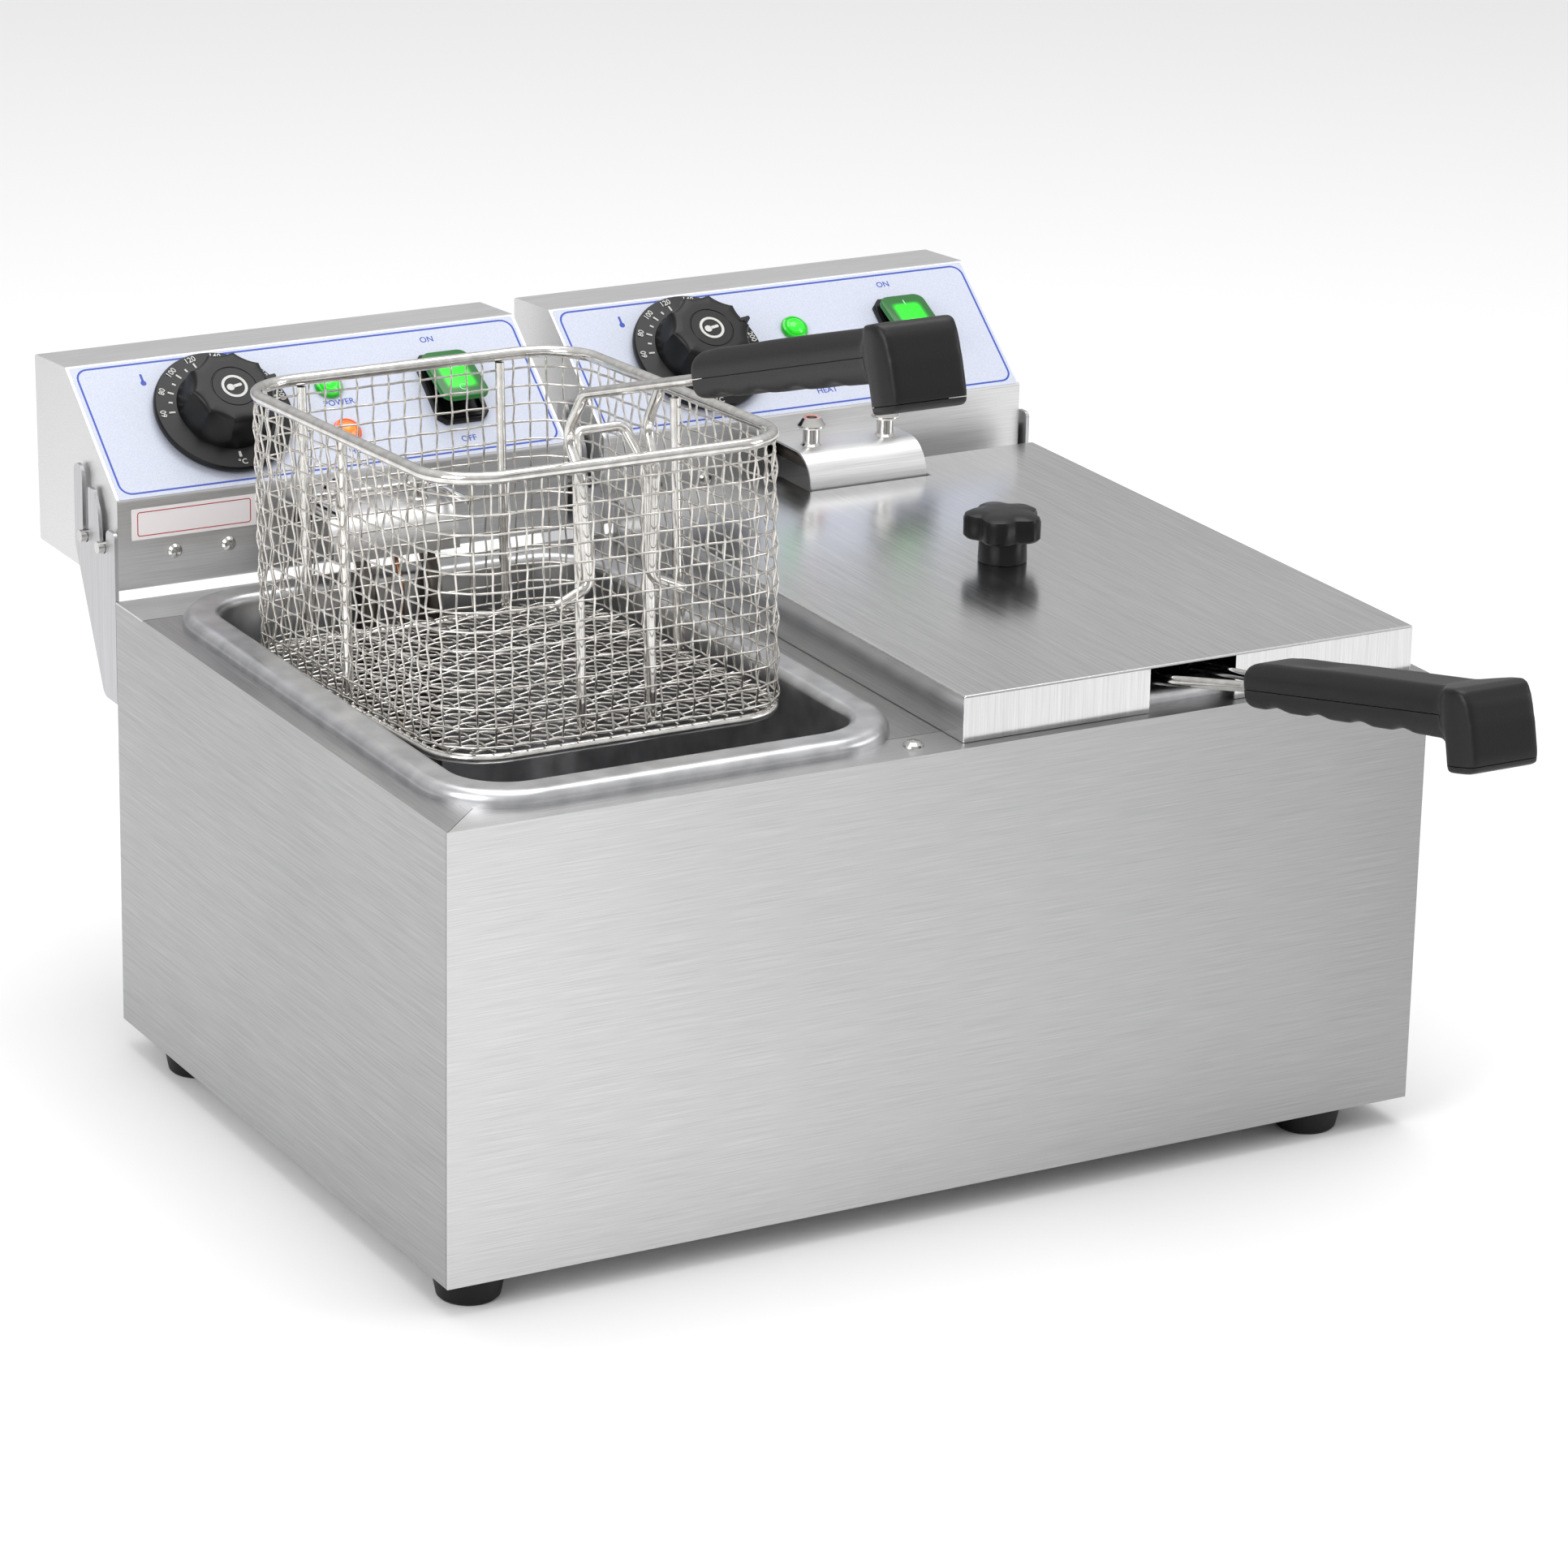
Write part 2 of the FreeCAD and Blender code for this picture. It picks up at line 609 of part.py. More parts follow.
    front_loop, back_loop, bend = along(104), along(290), 24.5
    element = riser(centre - 16) + [
        (centre - 16, along(330), floor_level, 8), (centre - 75, along(330), floor_level, 15),
        (centre - 75, front_loop, floor_level, bend), (centre - 25, front_loop, floor_level, bend),
        (centre - 25, back_loop, floor_level, bend), (centre + 25, back_loop, floor_level, bend),
        (centre + 25, front_loop, floor_level, bend), (centre + 75, front_loop, floor_level, bend),
        (centre + 75, along(330), floor_level, 15), (centre + 22, along(330), floor_level, 8),
    ] + riser(centre + 22)[::-1]
    node(f"{side}_heating_element", made(f"{side}_heating_element", bent_rod(element, size("element_radius"))))

    bulb_x, bulb_y = centre + 3, along(350.5)
    capillary = bent_rod([
        (bulb_x, BACK + 40, DECK + 36), (bulb_x, along(360), DECK + 36, 5), (bulb_x, along(360), DECK + 20, 8),
        (bulb_x, bulb_y, DECK + 4, 8), (bulb_x, bulb_y, DECK - 45)], 1.2)
    bulb = Part.makeCylinder(3, 90, Vector(bulb_x, bulb_y, DECK - 135))
    node(f"{side}_thermostat_bulb", made(f"{side}_thermostat_bulb", capillary.fuse(bulb)))

    node(f"{side}_thermostat", turned(f"{side}_thermostat", (
        (3.05, -14), (3.05, 3.6), (5.4, 3.6), (5.4, -head_gauge - 0.2), (17, -head_gauge - 0.2), (17, -30),
        (0, -30), (0, -14))), at_head(knob_place))

    for lamp, place in lamp_places.items():
        node(f"{side}_{lamp}_lamp", turned(f"{side}_{lamp}_lamp", (
            (0, -16), (6.3, -16), (6.3, 0), (8, 0), (8, 1.8), (7, 3.2), (6, 3.2), (5.4, 2.4), (4, 3.9), (0, 4.6))),
            at_head(place))

    frame_blank = new_body(f"{side}_switch_blank")
    feature(frame_blank, "Pad", "XY_Plane", rounded_rectangle(31, 46, 3), 3)
    feature(frame_blank, "Pad", "XY_Plane", rounded_rectangle(27, 41, 3), 4.4)
    feature(frame_blank, "Pad", "XY_Plane",
            rounded_rectangle(switch_opening[0] - 0.6, switch_opening[1] - 0.6, 1), 24, -24)
    recess = padded(f"{side}_switch_recess", "XY_Plane", rounded_rectangle(23.4, 36.4, 2), 12, 1.5)
    sockets = rod(f"{side}_switch_sockets", trunnion + 0.05, 26, (-13, 0, rocker_pivot), "x")
    node(f"{side}_switch_frame", cut(f"{side}_switch_frame", frame_blank, recess, sockets), at_head(switch_place))

    tipped = Placement(Vector(0, 0, rocker_pivot), Rotation(Vector(1, 0, 0), -rocker_throw / 2))
    rocker = padded(f"{side}_rocker_body", "YZ_Plane", outline(
        (-13, 3.6), (0, -1), (13, 3.6), (13, cap_low - rocker_pivot + 0.1), (-13, cap_low - rocker_pivot + 0.1)),
        22.4, both_ways=True)
    feature(rocker, "Pad", "XY_Plane", rounded_rectangle(28, 38, 6), cap_high - cap_low, cap_low - rocker_pivot)
    round_edges(rocker, 1.2, lambda edge: at_height(edge, cap_high - rocker_pivot))
    node(f"{side}_rocker", join(f"{side}_rocker_solid", rocker,
                                rod(f"{side}_trunnions", trunnion, 25.4, (-12.7, 0, 0), "x")),
         at_head(switch_place).multiply(tipped))

    screws = [pan_screw(f"{side}_front_screw_{number}", Placement(Vector(spot, head_front, front_screw_height),
                                                                 FACING_FRONT), 7)
              for number, spot in enumerate(front_screw_spots)]
    screws += [pan_screw(f"{side}_back_screw_{number}", Placement(Vector(x, back_at(z) + 0.05, z), FACING_BACK), 7)
               for number, (x, z) in enumerate(back_screw_spots)]
    node(f"{side}_head_screws", group(f"{side}_head_screws", *screws), home)

    gland = turned(f"{side}_cable_gland", (
        (4, -8), (8, -8), (8, 0), (11, 0), (11, 6), (9.6, 6), (9.6, 13), (7, 17), (4, 17)))
    node(f"{side}_cable_gland", gland, at_head(Placement(
        Vector(gland_spot[0], back_at(gland_spot[1]) + 0.3, gland_spot[1]), FACING_BACK)))

    node(f"{side}_terminal_block", block(f"{side}_terminal_block", 64, 18, 24, (40, BACK + 60, head_base + 2)))
    nodes[-1].Placement = home.multiply(nodes[-1].Placement)

    skirt, grip = size("knob_skirt_radius"), size("knob_grip_radius")
    knob_blank = turned(f"{side}_knob_blank", (
        (6, 2), (skirt, 2), (skirt, 6), (skirt - 1.5, 7.2), (grip + 1, 8), (grip - 2.4, 23), (grip - 5.5, 26),
        (12.5, 26.4), (12, 27), (0, 27), (0, 20), (3, 20), (3, 5), (6, 5)))
    scallops = []
    for number in range(10):
        angle = math.radians(36 * number)
        scallops.append(rod(f"{side}_scallop_{number}", 7.5, 25,
                            ((grip + 4.5) * math.cos(angle), (grip + 4.5) * math.sin(angle), 8.2)))
    spindle = rod(f"{side}_spindle", 3, 33, (0, 0, -13))
    knob_moulding = cut(f"{side}_knob_moulding", knob_blank, *scallops)
    node(f"{side}_knob", group(f"{side}_knob", knob_moulding, spindle), at_head(knob_place))

# ---------------------------------------------------------------- lid of the right well

lid_gauge = 1
lid_base = DECK + 0.3
lid_top = DECK + size("lid_height")
lid_middle = along(size("lid_front") + size("lid_length") / 2)
lid_centre = size("lid_centre")
cover_line = size("head_centre") + cover_centre
lid_blank = padded("lid_blank", "XY_Plane", rounded_rectangle(
    size("lid_width"), size("lid_length"), 1.2, (lid_centre, lid_middle)), lid_top - lid_base, lid_base)
round_edges(lid_blank, 1.2, lambda edge: at_height(edge, lid_top))
lid_space = padded("lid_space", "XY_Plane", rounded_rectangle(
    size("lid_width") - 2 * lid_gauge, size("lid_length") - 2 * lid_gauge, 0.6, (lid_centre, lid_middle)),
    lid_top - lid_base, lid_base - lid_gauge)
front_notch = block("front_notch", "lid_notch", 6, "lid_height - sheet_gauge",
                    ("lid_centre - lid_notch / 2", "casing_front + lid_front - 3", DECK - 0.01))
rear_notch = block("rear_notch", "cover_width + 4", 45, "lid_height + 10",
                   (cover_line - size("cover_width") / 2 - 2, cover_front - 2, DECK - 5))
stud_hole = rod("stud_hole", 2.6, 10, (lid_centre, lid_middle, lid_top - 5))
node("lid", cut("lid", lid_blank, lid_space, front_notch, rear_notch, stud_hole))

lobes = 5
knob_core = turned("lid_knob_blank", (
    (0, 0), (13.2, 0), (12.6, 13), (20.8, 13), (21.2, 15), (21.2, 25), (17, 28.2), (9, 27), (0, 26.4)))
gaps = []
for number in range(lobes):
    angle = 2 * math.pi * (number + 0.5) / lobes
    gaps.append(rod(f"lobe_gap_{number}", 12, 20, (29.5 * math.cos(angle), 29.5 * math.sin(angle), 12)))
lid_stud = rod("lid_stud", 2.5, 8, (0, 0, -7.9))
lid_nut = rod("lid_nut", 5, 3, (0, 0, -4.2))
node("lid_knob", group("lid_knob", join("lid_knob_solid", cut("lid_knob_star", knob_core, *gaps), lid_stud, lid_nut)),
     Placement(Vector(lid_centre, lid_middle, lid_top), NO_TURN))

# ---------------------------------------------------------------- frying baskets

basket_half = (size("basket_width") / 2, size("basket_length") / 2)
depth = size("basket_height")
rim_wire = size("rim_wire_radius")
frame_wire = size("frame_wire_radius")
handle_wire = size("handle_wire_radius")
mesh = size("mesh_gauge")
corner = size("basket_corner")
wall_inset = 1
hook_drop, hook_reach, hook_half, hook_wire = 77.2, 175.9, 37, 2.25
handle_rise = 14.2
handle_straight = 94
handle_inside = 60
handle_start = Vector(0, -basket_half[1] + 2.8, 36)
grip_turn = Rotation(Vector(1, 0, 0), -handle_rise)
grip_front = handle_start + grip_turn.multVec(Vector(0, -handle_straight, 0))
wire_y = -basket_half[1] + 2 * rim_wire + handle_wire + 0.1
leg_y = wire_y + handle_wire + frame_wire + 0.6

BASKET_PLACES = {
    "left": Placement(Vector(-size("well_centre"), along(216.7), DECK + 133.6), Rotation(Vector(1, 0, 0), -3.2)),
    "right": Placement(Vector(size("well_centre"), along(165), DECK - 23.4), Rotation(Vector(1, 0, 0), 1.6)),
}

for side, sign in SIDES:
    home = BASKET_PLACES[side]
    tray = padded(f"{side}_mesh_blank", "XY_Plane", rounded_rectangle(
        2 * (basket_half[0] - wall_inset), 2 * (basket_half[1] - wall_inset), corner - wall_inset),
        depth - rim_wire - 2 * frame_wire, 2 * frame_wire - depth)
    space = padded(f"{side}_mesh_space", "XY_Plane", rounded_rectangle(
        2 * (basket_half[0] - wall_inset - mesh), 2 * (basket_half[1] - wall_inset - mesh), corner - wall_inset - mesh),
        depth, 2 * frame_wire - depth + mesh)
    doc.recompute()
    shell = tray.Shape.cut(space.Shape)
    floor_top = 2 * frame_wire - depth + mesh
    bands = [[(-half, corner - half), (corner - half, half - corner), (half - corner, half)] for half in basket_half]
    panels = [shell.common(Part.makeBox(2 * basket_half[0], 2 * basket_half[1], mesh,
                                        Vector(-basket_half[0], -basket_half[1], floor_top - mesh)))]
    for left, right in bands[0]:
        for front, back in bands[1]:
            if (left, front) != (bands[0][1][0], bands[1][1][0]):
                panels.append(shell.common(Part.makeBox(right - left, back - front, depth,
                                                        Vector(left, front, floor_top))))
    node(f"{side}_basket_mesh", made(f"{side}_basket_mesh", Part.Compound(
        [solid for panel in panels for solid in panel.Solids])), home)

    rod_x = basket_half[0] - wall_inset - mesh - frame_wire - 0.1
    rod_y = basket_half[1] - wall_inset - mesh - frame_wire - 0.1
    rod_low = 2 * frame_wire - depth + mesh + 0.1
    frame = wire_ring(2 * (basket_half[0] - rim_wire), 2 * (basket_half[1] - rim_wire), corner - rim_wire, rim_wire, 0)
    foot_ring = wire_ring(2 * (basket_half[0] - 4), 2 * (basket_half[1] - 4), corner - 4, frame_wire,
                          frame_wire - depth)
    uprights = [(-rod_x, 0), (rod_x, 0), (-60, rod_y), (54, rod_y)]
    rod_top = -rim_wire - 0.05
    pieces = [Part.makeCylinder(frame_wire, rod_top - rod_low, Vector(x, y, rod_low)) for x, y in uprights]
    pieces.append(bent_rod([
        (-19.5, leg_y, rod_low), (-19.5, leg_y, -10, 14), (-13, leg_y + 13.5, 11.3, 5), (13, leg_y + 13.5, 11.3, 5),
        (19.5, leg_y, -10, 14), (19.5, leg_y, rod_low)], frame_wire))
    wall_back = basket_half[1] - wall_inset
    pieces.append(bent_rod([
        (-hook_half, wall_back, -hook_drop), (-hook_half, hook_reach, -hook_drop, 8),
        (hook_half, hook_reach, -hook_drop, 8), (hook_half, wall_back, -hook_drop)], hook_wire))
    node(f"{side}_basket_frame", made(f"{side}_basket_frame", Part.Compound([frame, foot_ring, *pieces])), home)

    wires = []
    for hand in (-1, 1):
        entry = Vector(hand * 9.5, grip_front.y, grip_front.z)
        end = entry + grip_turn.multVec(Vector(0, -handle_inside, 0))
        wires.append(bent_rod([
            (hand * 35, wire_y, -70), (hand * 17, wire_y, -62, 7), (hand * 20.5, wire_y, -6, 20),
            (hand * 22, wire_y + 12, 12, 12), (hand * 21, handle_start.y, handle_start.z, 12),
            (entry.x, entry.y, entry.z, 60), tuple(end)], handle_wire))
    node(f"{side}_handle_wires", made(f"{side}_handle_wires", Part.Compound(wires)), home)

    grip_home = home.multiply(Placement(grip_front, grip_turn))
    bores = [rod(f"{side}_bore_{hand}", "handle_wire_radius", handle_inside + 5,
                 (hand * 9.5, -handle_inside, 0), "y") for hand in (-1, 1)]
    upper = padded(f"{side}_grip_upper_blank", "YZ_Plane", outline(
        (-8, 0), (-8, 9, 4), (-20, 12.5, 12), (-70, 13.5, 60), (-182, 13, 5), (-182, 0)), 32, both_ways=True)
    feature(upper, "Pad", "YZ_Plane", outline(
        (-178, 0), (-178, 12.9), (-202, 14.6, 6), (-208, -20, 8), (-207, -22.5), (-183.5, -22.5), (-179, 0)), 42,
        both_ways=True)
    node(f"{side}_grip_upper", cut(f"{side}_grip_upper", upper, *bores), grip_home)

    lower = padded(f"{side}_grip_lower_blank", "YZ_Plane", outline(
        (-8, -0.2), (-178.8, -0.2), (-183.3, -22.8), (-207, -22.8), (-205, -26.5, 2), (-180, -26.5, 3),
        (-176, -12, 3), (-14, -9.5, 3), (-8, -8, 3)), 31, both_ways=True)
    dips = [rod(f"{side}_finger_dip_{number}", 22, 40, (-20, -33 - 36 * number, -29.6 - 0.6 * number), "x")
            for number in range(4)]
    node(f"{side}_grip_lower", cut(f"{side}_grip_lower", lower, *bores, *dips), grip_home)


# ---------------------------------------------------------------- check every piece, then write it

doc.recompute()
faults = [thing.Name for thing in doc.Objects if {"Invalid", "Error"} & set(thing.State)]
for thing in nodes:
    if thing.Shape.isNull() or not thing.Shape.isValid() or not thing.Shape.Solids:
        faults.append(thing.Label)
if faults:
    raise RuntimeError("failed pieces: " + ", ".join(faults))

os.makedirs("parts", exist_ok=True)
for thing in nodes:
    thing.Shape.exportStep(f"parts/{thing.Label}.step")
print(len(nodes), "pieces written")
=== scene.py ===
"""Looks of a twin-well countertop deep fryer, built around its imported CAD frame."""

import math

import bpy
from mathutils import Matrix, Vector


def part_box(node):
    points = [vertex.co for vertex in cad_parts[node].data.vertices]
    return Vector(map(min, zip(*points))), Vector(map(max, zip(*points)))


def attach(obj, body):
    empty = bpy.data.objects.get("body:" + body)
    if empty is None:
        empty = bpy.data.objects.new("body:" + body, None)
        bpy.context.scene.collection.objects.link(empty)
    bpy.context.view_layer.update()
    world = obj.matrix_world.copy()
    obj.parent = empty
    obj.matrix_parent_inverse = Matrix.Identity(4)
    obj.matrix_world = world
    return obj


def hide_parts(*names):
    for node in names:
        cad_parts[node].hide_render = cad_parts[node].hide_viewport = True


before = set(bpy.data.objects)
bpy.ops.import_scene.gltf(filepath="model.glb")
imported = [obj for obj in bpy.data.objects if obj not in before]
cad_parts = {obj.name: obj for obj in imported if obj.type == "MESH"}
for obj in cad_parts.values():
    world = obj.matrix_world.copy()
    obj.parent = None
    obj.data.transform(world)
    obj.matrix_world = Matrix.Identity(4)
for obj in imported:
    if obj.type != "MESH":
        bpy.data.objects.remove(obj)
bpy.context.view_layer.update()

# ---------------------------------------------------------------- casing
# Folded sheets of 1 mm stainless steel, brushed along their length and welded at the corners.
# The deck's four flanges meet in mitres, and a strip riveted down the middle parts the two wells.

MM = 0.001
SIDES = ("left", "right")
CASING_HALF_WIDTH = 280.0


def linear(colour):
    """Linear RGBA of an sRGB hex colour."""
    channels = [int(colour[i:i + 2], 16) / 255 for i in (1, 3, 5)]
    return tuple(c / 12.92 if c <= 0.04045 else ((c + 0.055) / 1.055) ** 2.4 for c in channels) + (1,)


def add_node(tree, kind, settings=None, links=None):
    """A shader node with its settings, and each named input linked from an output. `stops` gives the two
    ends of a colour ramp as (position, hex colour)."""
    new = tree.nodes.new(kind)
    for key, value in (settings or {}).items():
        if key == "stops":
            for end, (position, colour) in zip(new.color_ramp.elements, value):
                end.position, end.color = position, linear(colour)
        elif isinstance(key, int) or key in new.inputs:
            new.inputs[key].default_value = value
        else:
            setattr(new, key, value)
    for key, source in (links or {}).items():
        tree.links.new(source, new.inputs[key])
    return new


def start_material(name, colour, metallic, roughness):
    """A named material with its base values set on the shader's own sockets."""
    finish = bpy.data.materials.new(name)
    finish.use_nodes = True
    shader = finish.node_tree.nodes["Principled BSDF"]
    shader.inputs["Base Color"].default_value = linear(colour)
    shader.inputs["Metallic"].default_value = metallic
    shader.inputs["Roughness"].default_value = roughness
    return finish, finish.node_tree, shader


def wear(tree, shader, pattern, colours=None, roughness=None):
    """Let one pattern swing a shader between two colours, and over a range of roughness."""
    if colours:
        ramp = add_node(tree, "ShaderNodeValToRGB", {"stops": ((0.3, colours[0]), (0.7, colours[1]))},
                        {"Fac": pattern})
        tree.links.new(ramp.outputs["Color"], shader.inputs["Base Color"])
    if roughness:
        spread = add_node(tree, "ShaderNodeMapRange", {"To Min": roughness[0], "To Max": roughness[1]},
                          {"Value": pattern})
        tree.links.new(spread.outputs["Result"], shader.inputs["Roughness"])


def brushed_stainless(name, grain, dark, light, low, high, fold=False, painted_shade_share=None):
    """Belt-brushed stainless steel: scratches 0.6 mm apart and 45 mm long run along one axis, far coarser
    than the real grit so that they show, with slow bands of polish a hand's width across. `fold` turns the
    grain of a Y-grained sheet down its front skirt. `painted_shade_share` is the colour left at +X: painted shade."""
    finish, tree, shader = start_material(name, light, 1.0, high)
    place = add_node(tree, "ShaderNodeTexCoord").outputs["Object"]
    across, lengthwise = 1 / (0.6 * MM), 1 / (45 * MM)
    scale = [lengthwise if axis == grain else across for axis in "xyz"]
    stretched = add_node(tree, "ShaderNodeMapping", {"Scale": scale}, {"Vector": place}).outputs["Vector"]
    if fold:
        down = add_node(tree, "ShaderNodeMapping", {"Scale": (across, across, lengthwise)}, {"Vector": place})
        facing = add_node(tree, "ShaderNodeSeparateXYZ", links={
            "Vector": add_node(tree, "ShaderNodeNewGeometry").outputs["Normal"]})
        size = add_node(tree, "ShaderNodeMath", {"operation": "ABSOLUTE"}, {0: facing.outputs["Y"]})
        front = add_node(tree, "ShaderNodeMath", {"operation": "GREATER_THAN", 1: 0.7}, {0: size.outputs[0]})
        stretched = add_node(tree, "ShaderNodeMix", {"data_type": "VECTOR"}, {
            "Factor": front.outputs[0], 4: stretched, 5: down.outputs["Vector"]}).outputs[1]
    hairs = add_node(tree, "ShaderNodeTexNoise", {"Scale": 1.0, "Detail": 3.0, "Roughness": 0.65},
                     {"Vector": stretched}).outputs["Fac"]
    bands = add_node(tree, "ShaderNodeTexNoise", {"Scale": 1 / (250 * MM), "Detail": 1.0},
                     {"Vector": place}).outputs["Fac"]
    both = add_node(tree, "ShaderNodeMix", {"Factor": 0.25}, {2: hairs, 3: bands}).outputs[0]
    wear(tree, shader, both, colours=(dark, light))
    # Painted shade: the base colour is multiplied from full at -X down to the given share at +X.
    if painted_shade_share:
        apart = add_node(tree, "ShaderNodeSeparateXYZ", links={"Vector": place}).outputs["X"]
        share = add_node(tree, "ShaderNodeMapRange", {
            "From Min": -CASING_HALF_WIDTH * MM, "From Max": CASING_HALF_WIDTH * MM, "To Min": 1.0,
            "To Max": painted_shade_share}, {"Value": apart})
        grey = add_node(tree, "ShaderNodeCombineColor", links={
            channel: share.outputs["Result"] for channel in ("Red", "Green", "Blue")})
        bare = shader.inputs["Base Color"].links[0].from_socket
        painted_shade_mix = add_node(tree, "ShaderNodeMix", {
            "data_type": "RGBA", "blend_type": "MULTIPLY", "Factor": 1.0}, {6: bare, 7: grey.outputs["Color"]})
        tree.links.new(painted_shade_mix.outputs[2], shader.inputs["Base Color"])
    wear(tree, shader, hairs, roughness=(low, high))
    scratches = add_node(tree, "ShaderNodeBump", {"Distance": 0.012 * MM}, {"Height": hairs})
    tree.links.new(scratches.outputs["Normal"], shader.inputs["Normal"])
    return finish


def dress(finish, *nodes):
    """Give CAD nodes their finish."""
    for name in nodes:
        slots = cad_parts[name].data.materials
        slots.clear()
        slots.append(finish)


# Painted shade: the front, rear and base steel darkens to half its colour from -X to +X.
front_steel = brushed_stainless("brushed_front_painted_shade", "x", "#C6C6C7", "#E4E4E4", 0.30, 0.44, painted_shade_share=0.5)
# Painted light: the heads get a lighter copy of the same steel.
lit_head_steel = brushed_stainless("brushed_head_painted_light", "x", "#CFCFD0", "#ECECEC", 0.32, 0.46)
# Painted shade: the side panels and centre strip get a darker copy of the same steel.
shaded_side_steel = brushed_stainless("brushed_side_painted_shade", "y", "#9C9C9D", "#BEBEBF", 0.30, 0.44)
upright_steel = brushed_stainless("brushed_bracket", "z", "#B4B4B6", "#D2D2D4", 0.30, 0.44)
dress(front_steel, "front_panel", "rear_panel", "base_plate")
dress(lit_head_steel, "left_head_shell", "right_head_shell", "left_head_back_cover", "right_head_back_cover",
      "left_element_cover", "right_element_cover")
dress(shaded_side_steel, "left_side_panel", "right_side_panel", "centre_deck_strip")
dress(upright_steel, "left_pivot_brackets", "right_pivot_brackets")

# ---------------------------------------------------------------- wells
# Two oil pans deep-drawn from stainless sheet, each with a rolled rim that stands on the deck.
# The drawing dies leave them satin, with a soft mottle and no direction.


def satin_stainless(name, dark, light, low, high):
    """Die-drawn stainless steel: even satin with a faint 15 mm mottle and 0.8 mm orange peel."""
    finish, tree, shader = start_material(name, light, 1.0, high)
    place = add_node(tree, "ShaderNodeTexCoord").outputs["Object"]
    mottle = add_node(tree, "ShaderNodeTexNoise", {"Scale": 1 / (15 * MM), "Detail": 4.0}, {"Vector": place})
    peel = add_node(tree, "ShaderNodeTexNoise", {"Scale": 1 / (0.8 * MM), "Detail": 1.0}, {"Vector": place})
    wear(tree, shader, mottle.outputs["Fac"], (dark, light), (low, high))
    relief = add_node(tree, "ShaderNodeBump", {"Distance": 0.006 * MM}, {"Height": peel.outputs["Fac"]})
    tree.links.new(relief.outputs["Normal"], shader.inputs["Normal"])
    return finish


drawn_steel = satin_stainless("drawn_stainless", "#B9BABC", "#D6D6D8", 0.28, 0.40)
dress(drawn_steel, "left_well", "right_well")

# ---------------------------------------------------------------- bright fixings
# Posts, pins, axles, rivets and screws: turned or headed steel, nickel plated, so smooth that it
# mirrors what stands beside it. They screw, rivet or press into the sheets.

bright_steel = satin_stainless("bright_nickel", "#C4C3C0", "#DEDDDA", 0.10, 0.20)
for side in SIDES:
    dress(bright_steel, f"{side}_hanger_posts", f"{side}_guide_pins", f"{side}_pivot_axle", f"{side}_head_screws")
dress(bright_steel, "deck_rivets", "foot_screws", "bracket_screws")

# ---------------------------------------------------------------- feet, glands and terminal blocks
# Feet are pressed black rubber, screwed under the base. Glands are moulded nylon, nutted through the
# back covers. The thermostats and terminal blocks inside the heads are glazed porcelain.


def moulded(name, colour, roughness, grain, height, gloss=0.5):
    """Moulded plastic or rubber: one colour all through, with the mould's spark-eroded grain, which has
    its pitch and height in mm."""
    finish, tree, shader = start_material(name, colour, 0.0, roughness)
    shader.inputs["Specular IOR Level"].default_value = gloss
    place = add_node(tree, "ShaderNodeTexCoord").outputs["Object"]
    pits = add_node(tree, "ShaderNodeTexNoise", {"Scale": 1 / (grain * MM), "Detail": 2.0}, {"Vector": place})
    wear(tree, shader, pits.outputs["Fac"], roughness=(roughness - 0.08, roughness + 0.08))
    relief = add_node(tree, "ShaderNodeBump", {"Distance": height * MM}, {"Height": pits.outputs["Fac"]})
    tree.links.new(relief.outputs["Normal"], shader.inputs["Normal"])
    return finish


foot_rubber = moulded("foot_rubber", "#0E0E0E", 0.55, 0.9, 0.02, 0.3)
nylon = moulded("gland_nylon", "#1A1A1B", 0.40, 0.6, 0.01)
porcelain = moulded("porcelain", "#DAD5C8", 0.35, 2, 0.01)
dress(foot_rubber, "feet")
for side in SIDES:
    dress(nylon, f"{side}_cable_gland")
    dress(porcelain, f"{side}_terminal_block", f"{side}_thermostat")

# ---------------------------------------------------------------- heating elements and thermostat bulbs
# Tubular elements bent from one length, sheathed in steel that heat has dulled to brown-grey, and
# drawn copper bulbs that feel the oil. Both hang from the heads.

sheath = satin_stainless("heat_dulled_sheath", "#4B4540", "#76706A", 0.34, 0.5)
copper = satin_stainless("bulb_copper", "#8A5A3C", "#B4784F", 0.25, 0.4)
for side in SIDES:
    dress(sheath, f"{side}_heating_element")
    dress(copper, f"{side}_thermostat_bulb")

# ---------------------------------------------------------------- fascia films
# A printed polyester film is stuck on each head's sloping front: pale blue-grey with a blue border
# line, a thermometer sign, and plain words beside the lamps and switch. Its own axes lie on the slope:
# x across from the head's middle, y up the slope, z out of it, in mm.

HEAD_BODY = {"left": "left_head", "right": "casing"}
SLANT_RUN, SLANT_RISE, SLANT_FOOT = 68.2, 56.0, 49.6
SLANT_LENGTH = math.hypot(SLANT_RUN, SLANT_RISE)
FILM_HALF_WIDTH, FILM_GAUGE, FILM_MARGIN = 131.0, 0.25, (0.4, 1.2)
KNOB_AT, LAMPS_AT, SWITCH_AT = (-57, 45), {"power": (9, 55.3), "heat": (9, 24.9)}, (78, 44)
fascia = {}
for side in SIDES:
    low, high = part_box(f"{side}_head_shell")
    corner = Vector(((low[0] + high[0]) / 2, low[1], low[2] + SLANT_FOOT * MM))
    slope = Matrix.Rotation(math.atan2(SLANT_RISE, SLANT_RUN), 4, "X")
    fascia[side] = Matrix.Translation(corner) @ slope @ Matrix.Scale(MM, 4)


def deselect():
    """Leave edit mode and select nothing."""
    if bpy.context.object and bpy.context.object.mode == "EDIT":
        bpy.ops.object.mode_set(mode="OBJECT")
    bpy.ops.object.select_all(action="DESELECT")


def choose(*pieces):
    """Select these pieces alone, with the first one active."""
    deselect()
    for piece in pieces:
        piece.select_set(True)
    bpy.context.view_layer.objects.active = pieces[0]


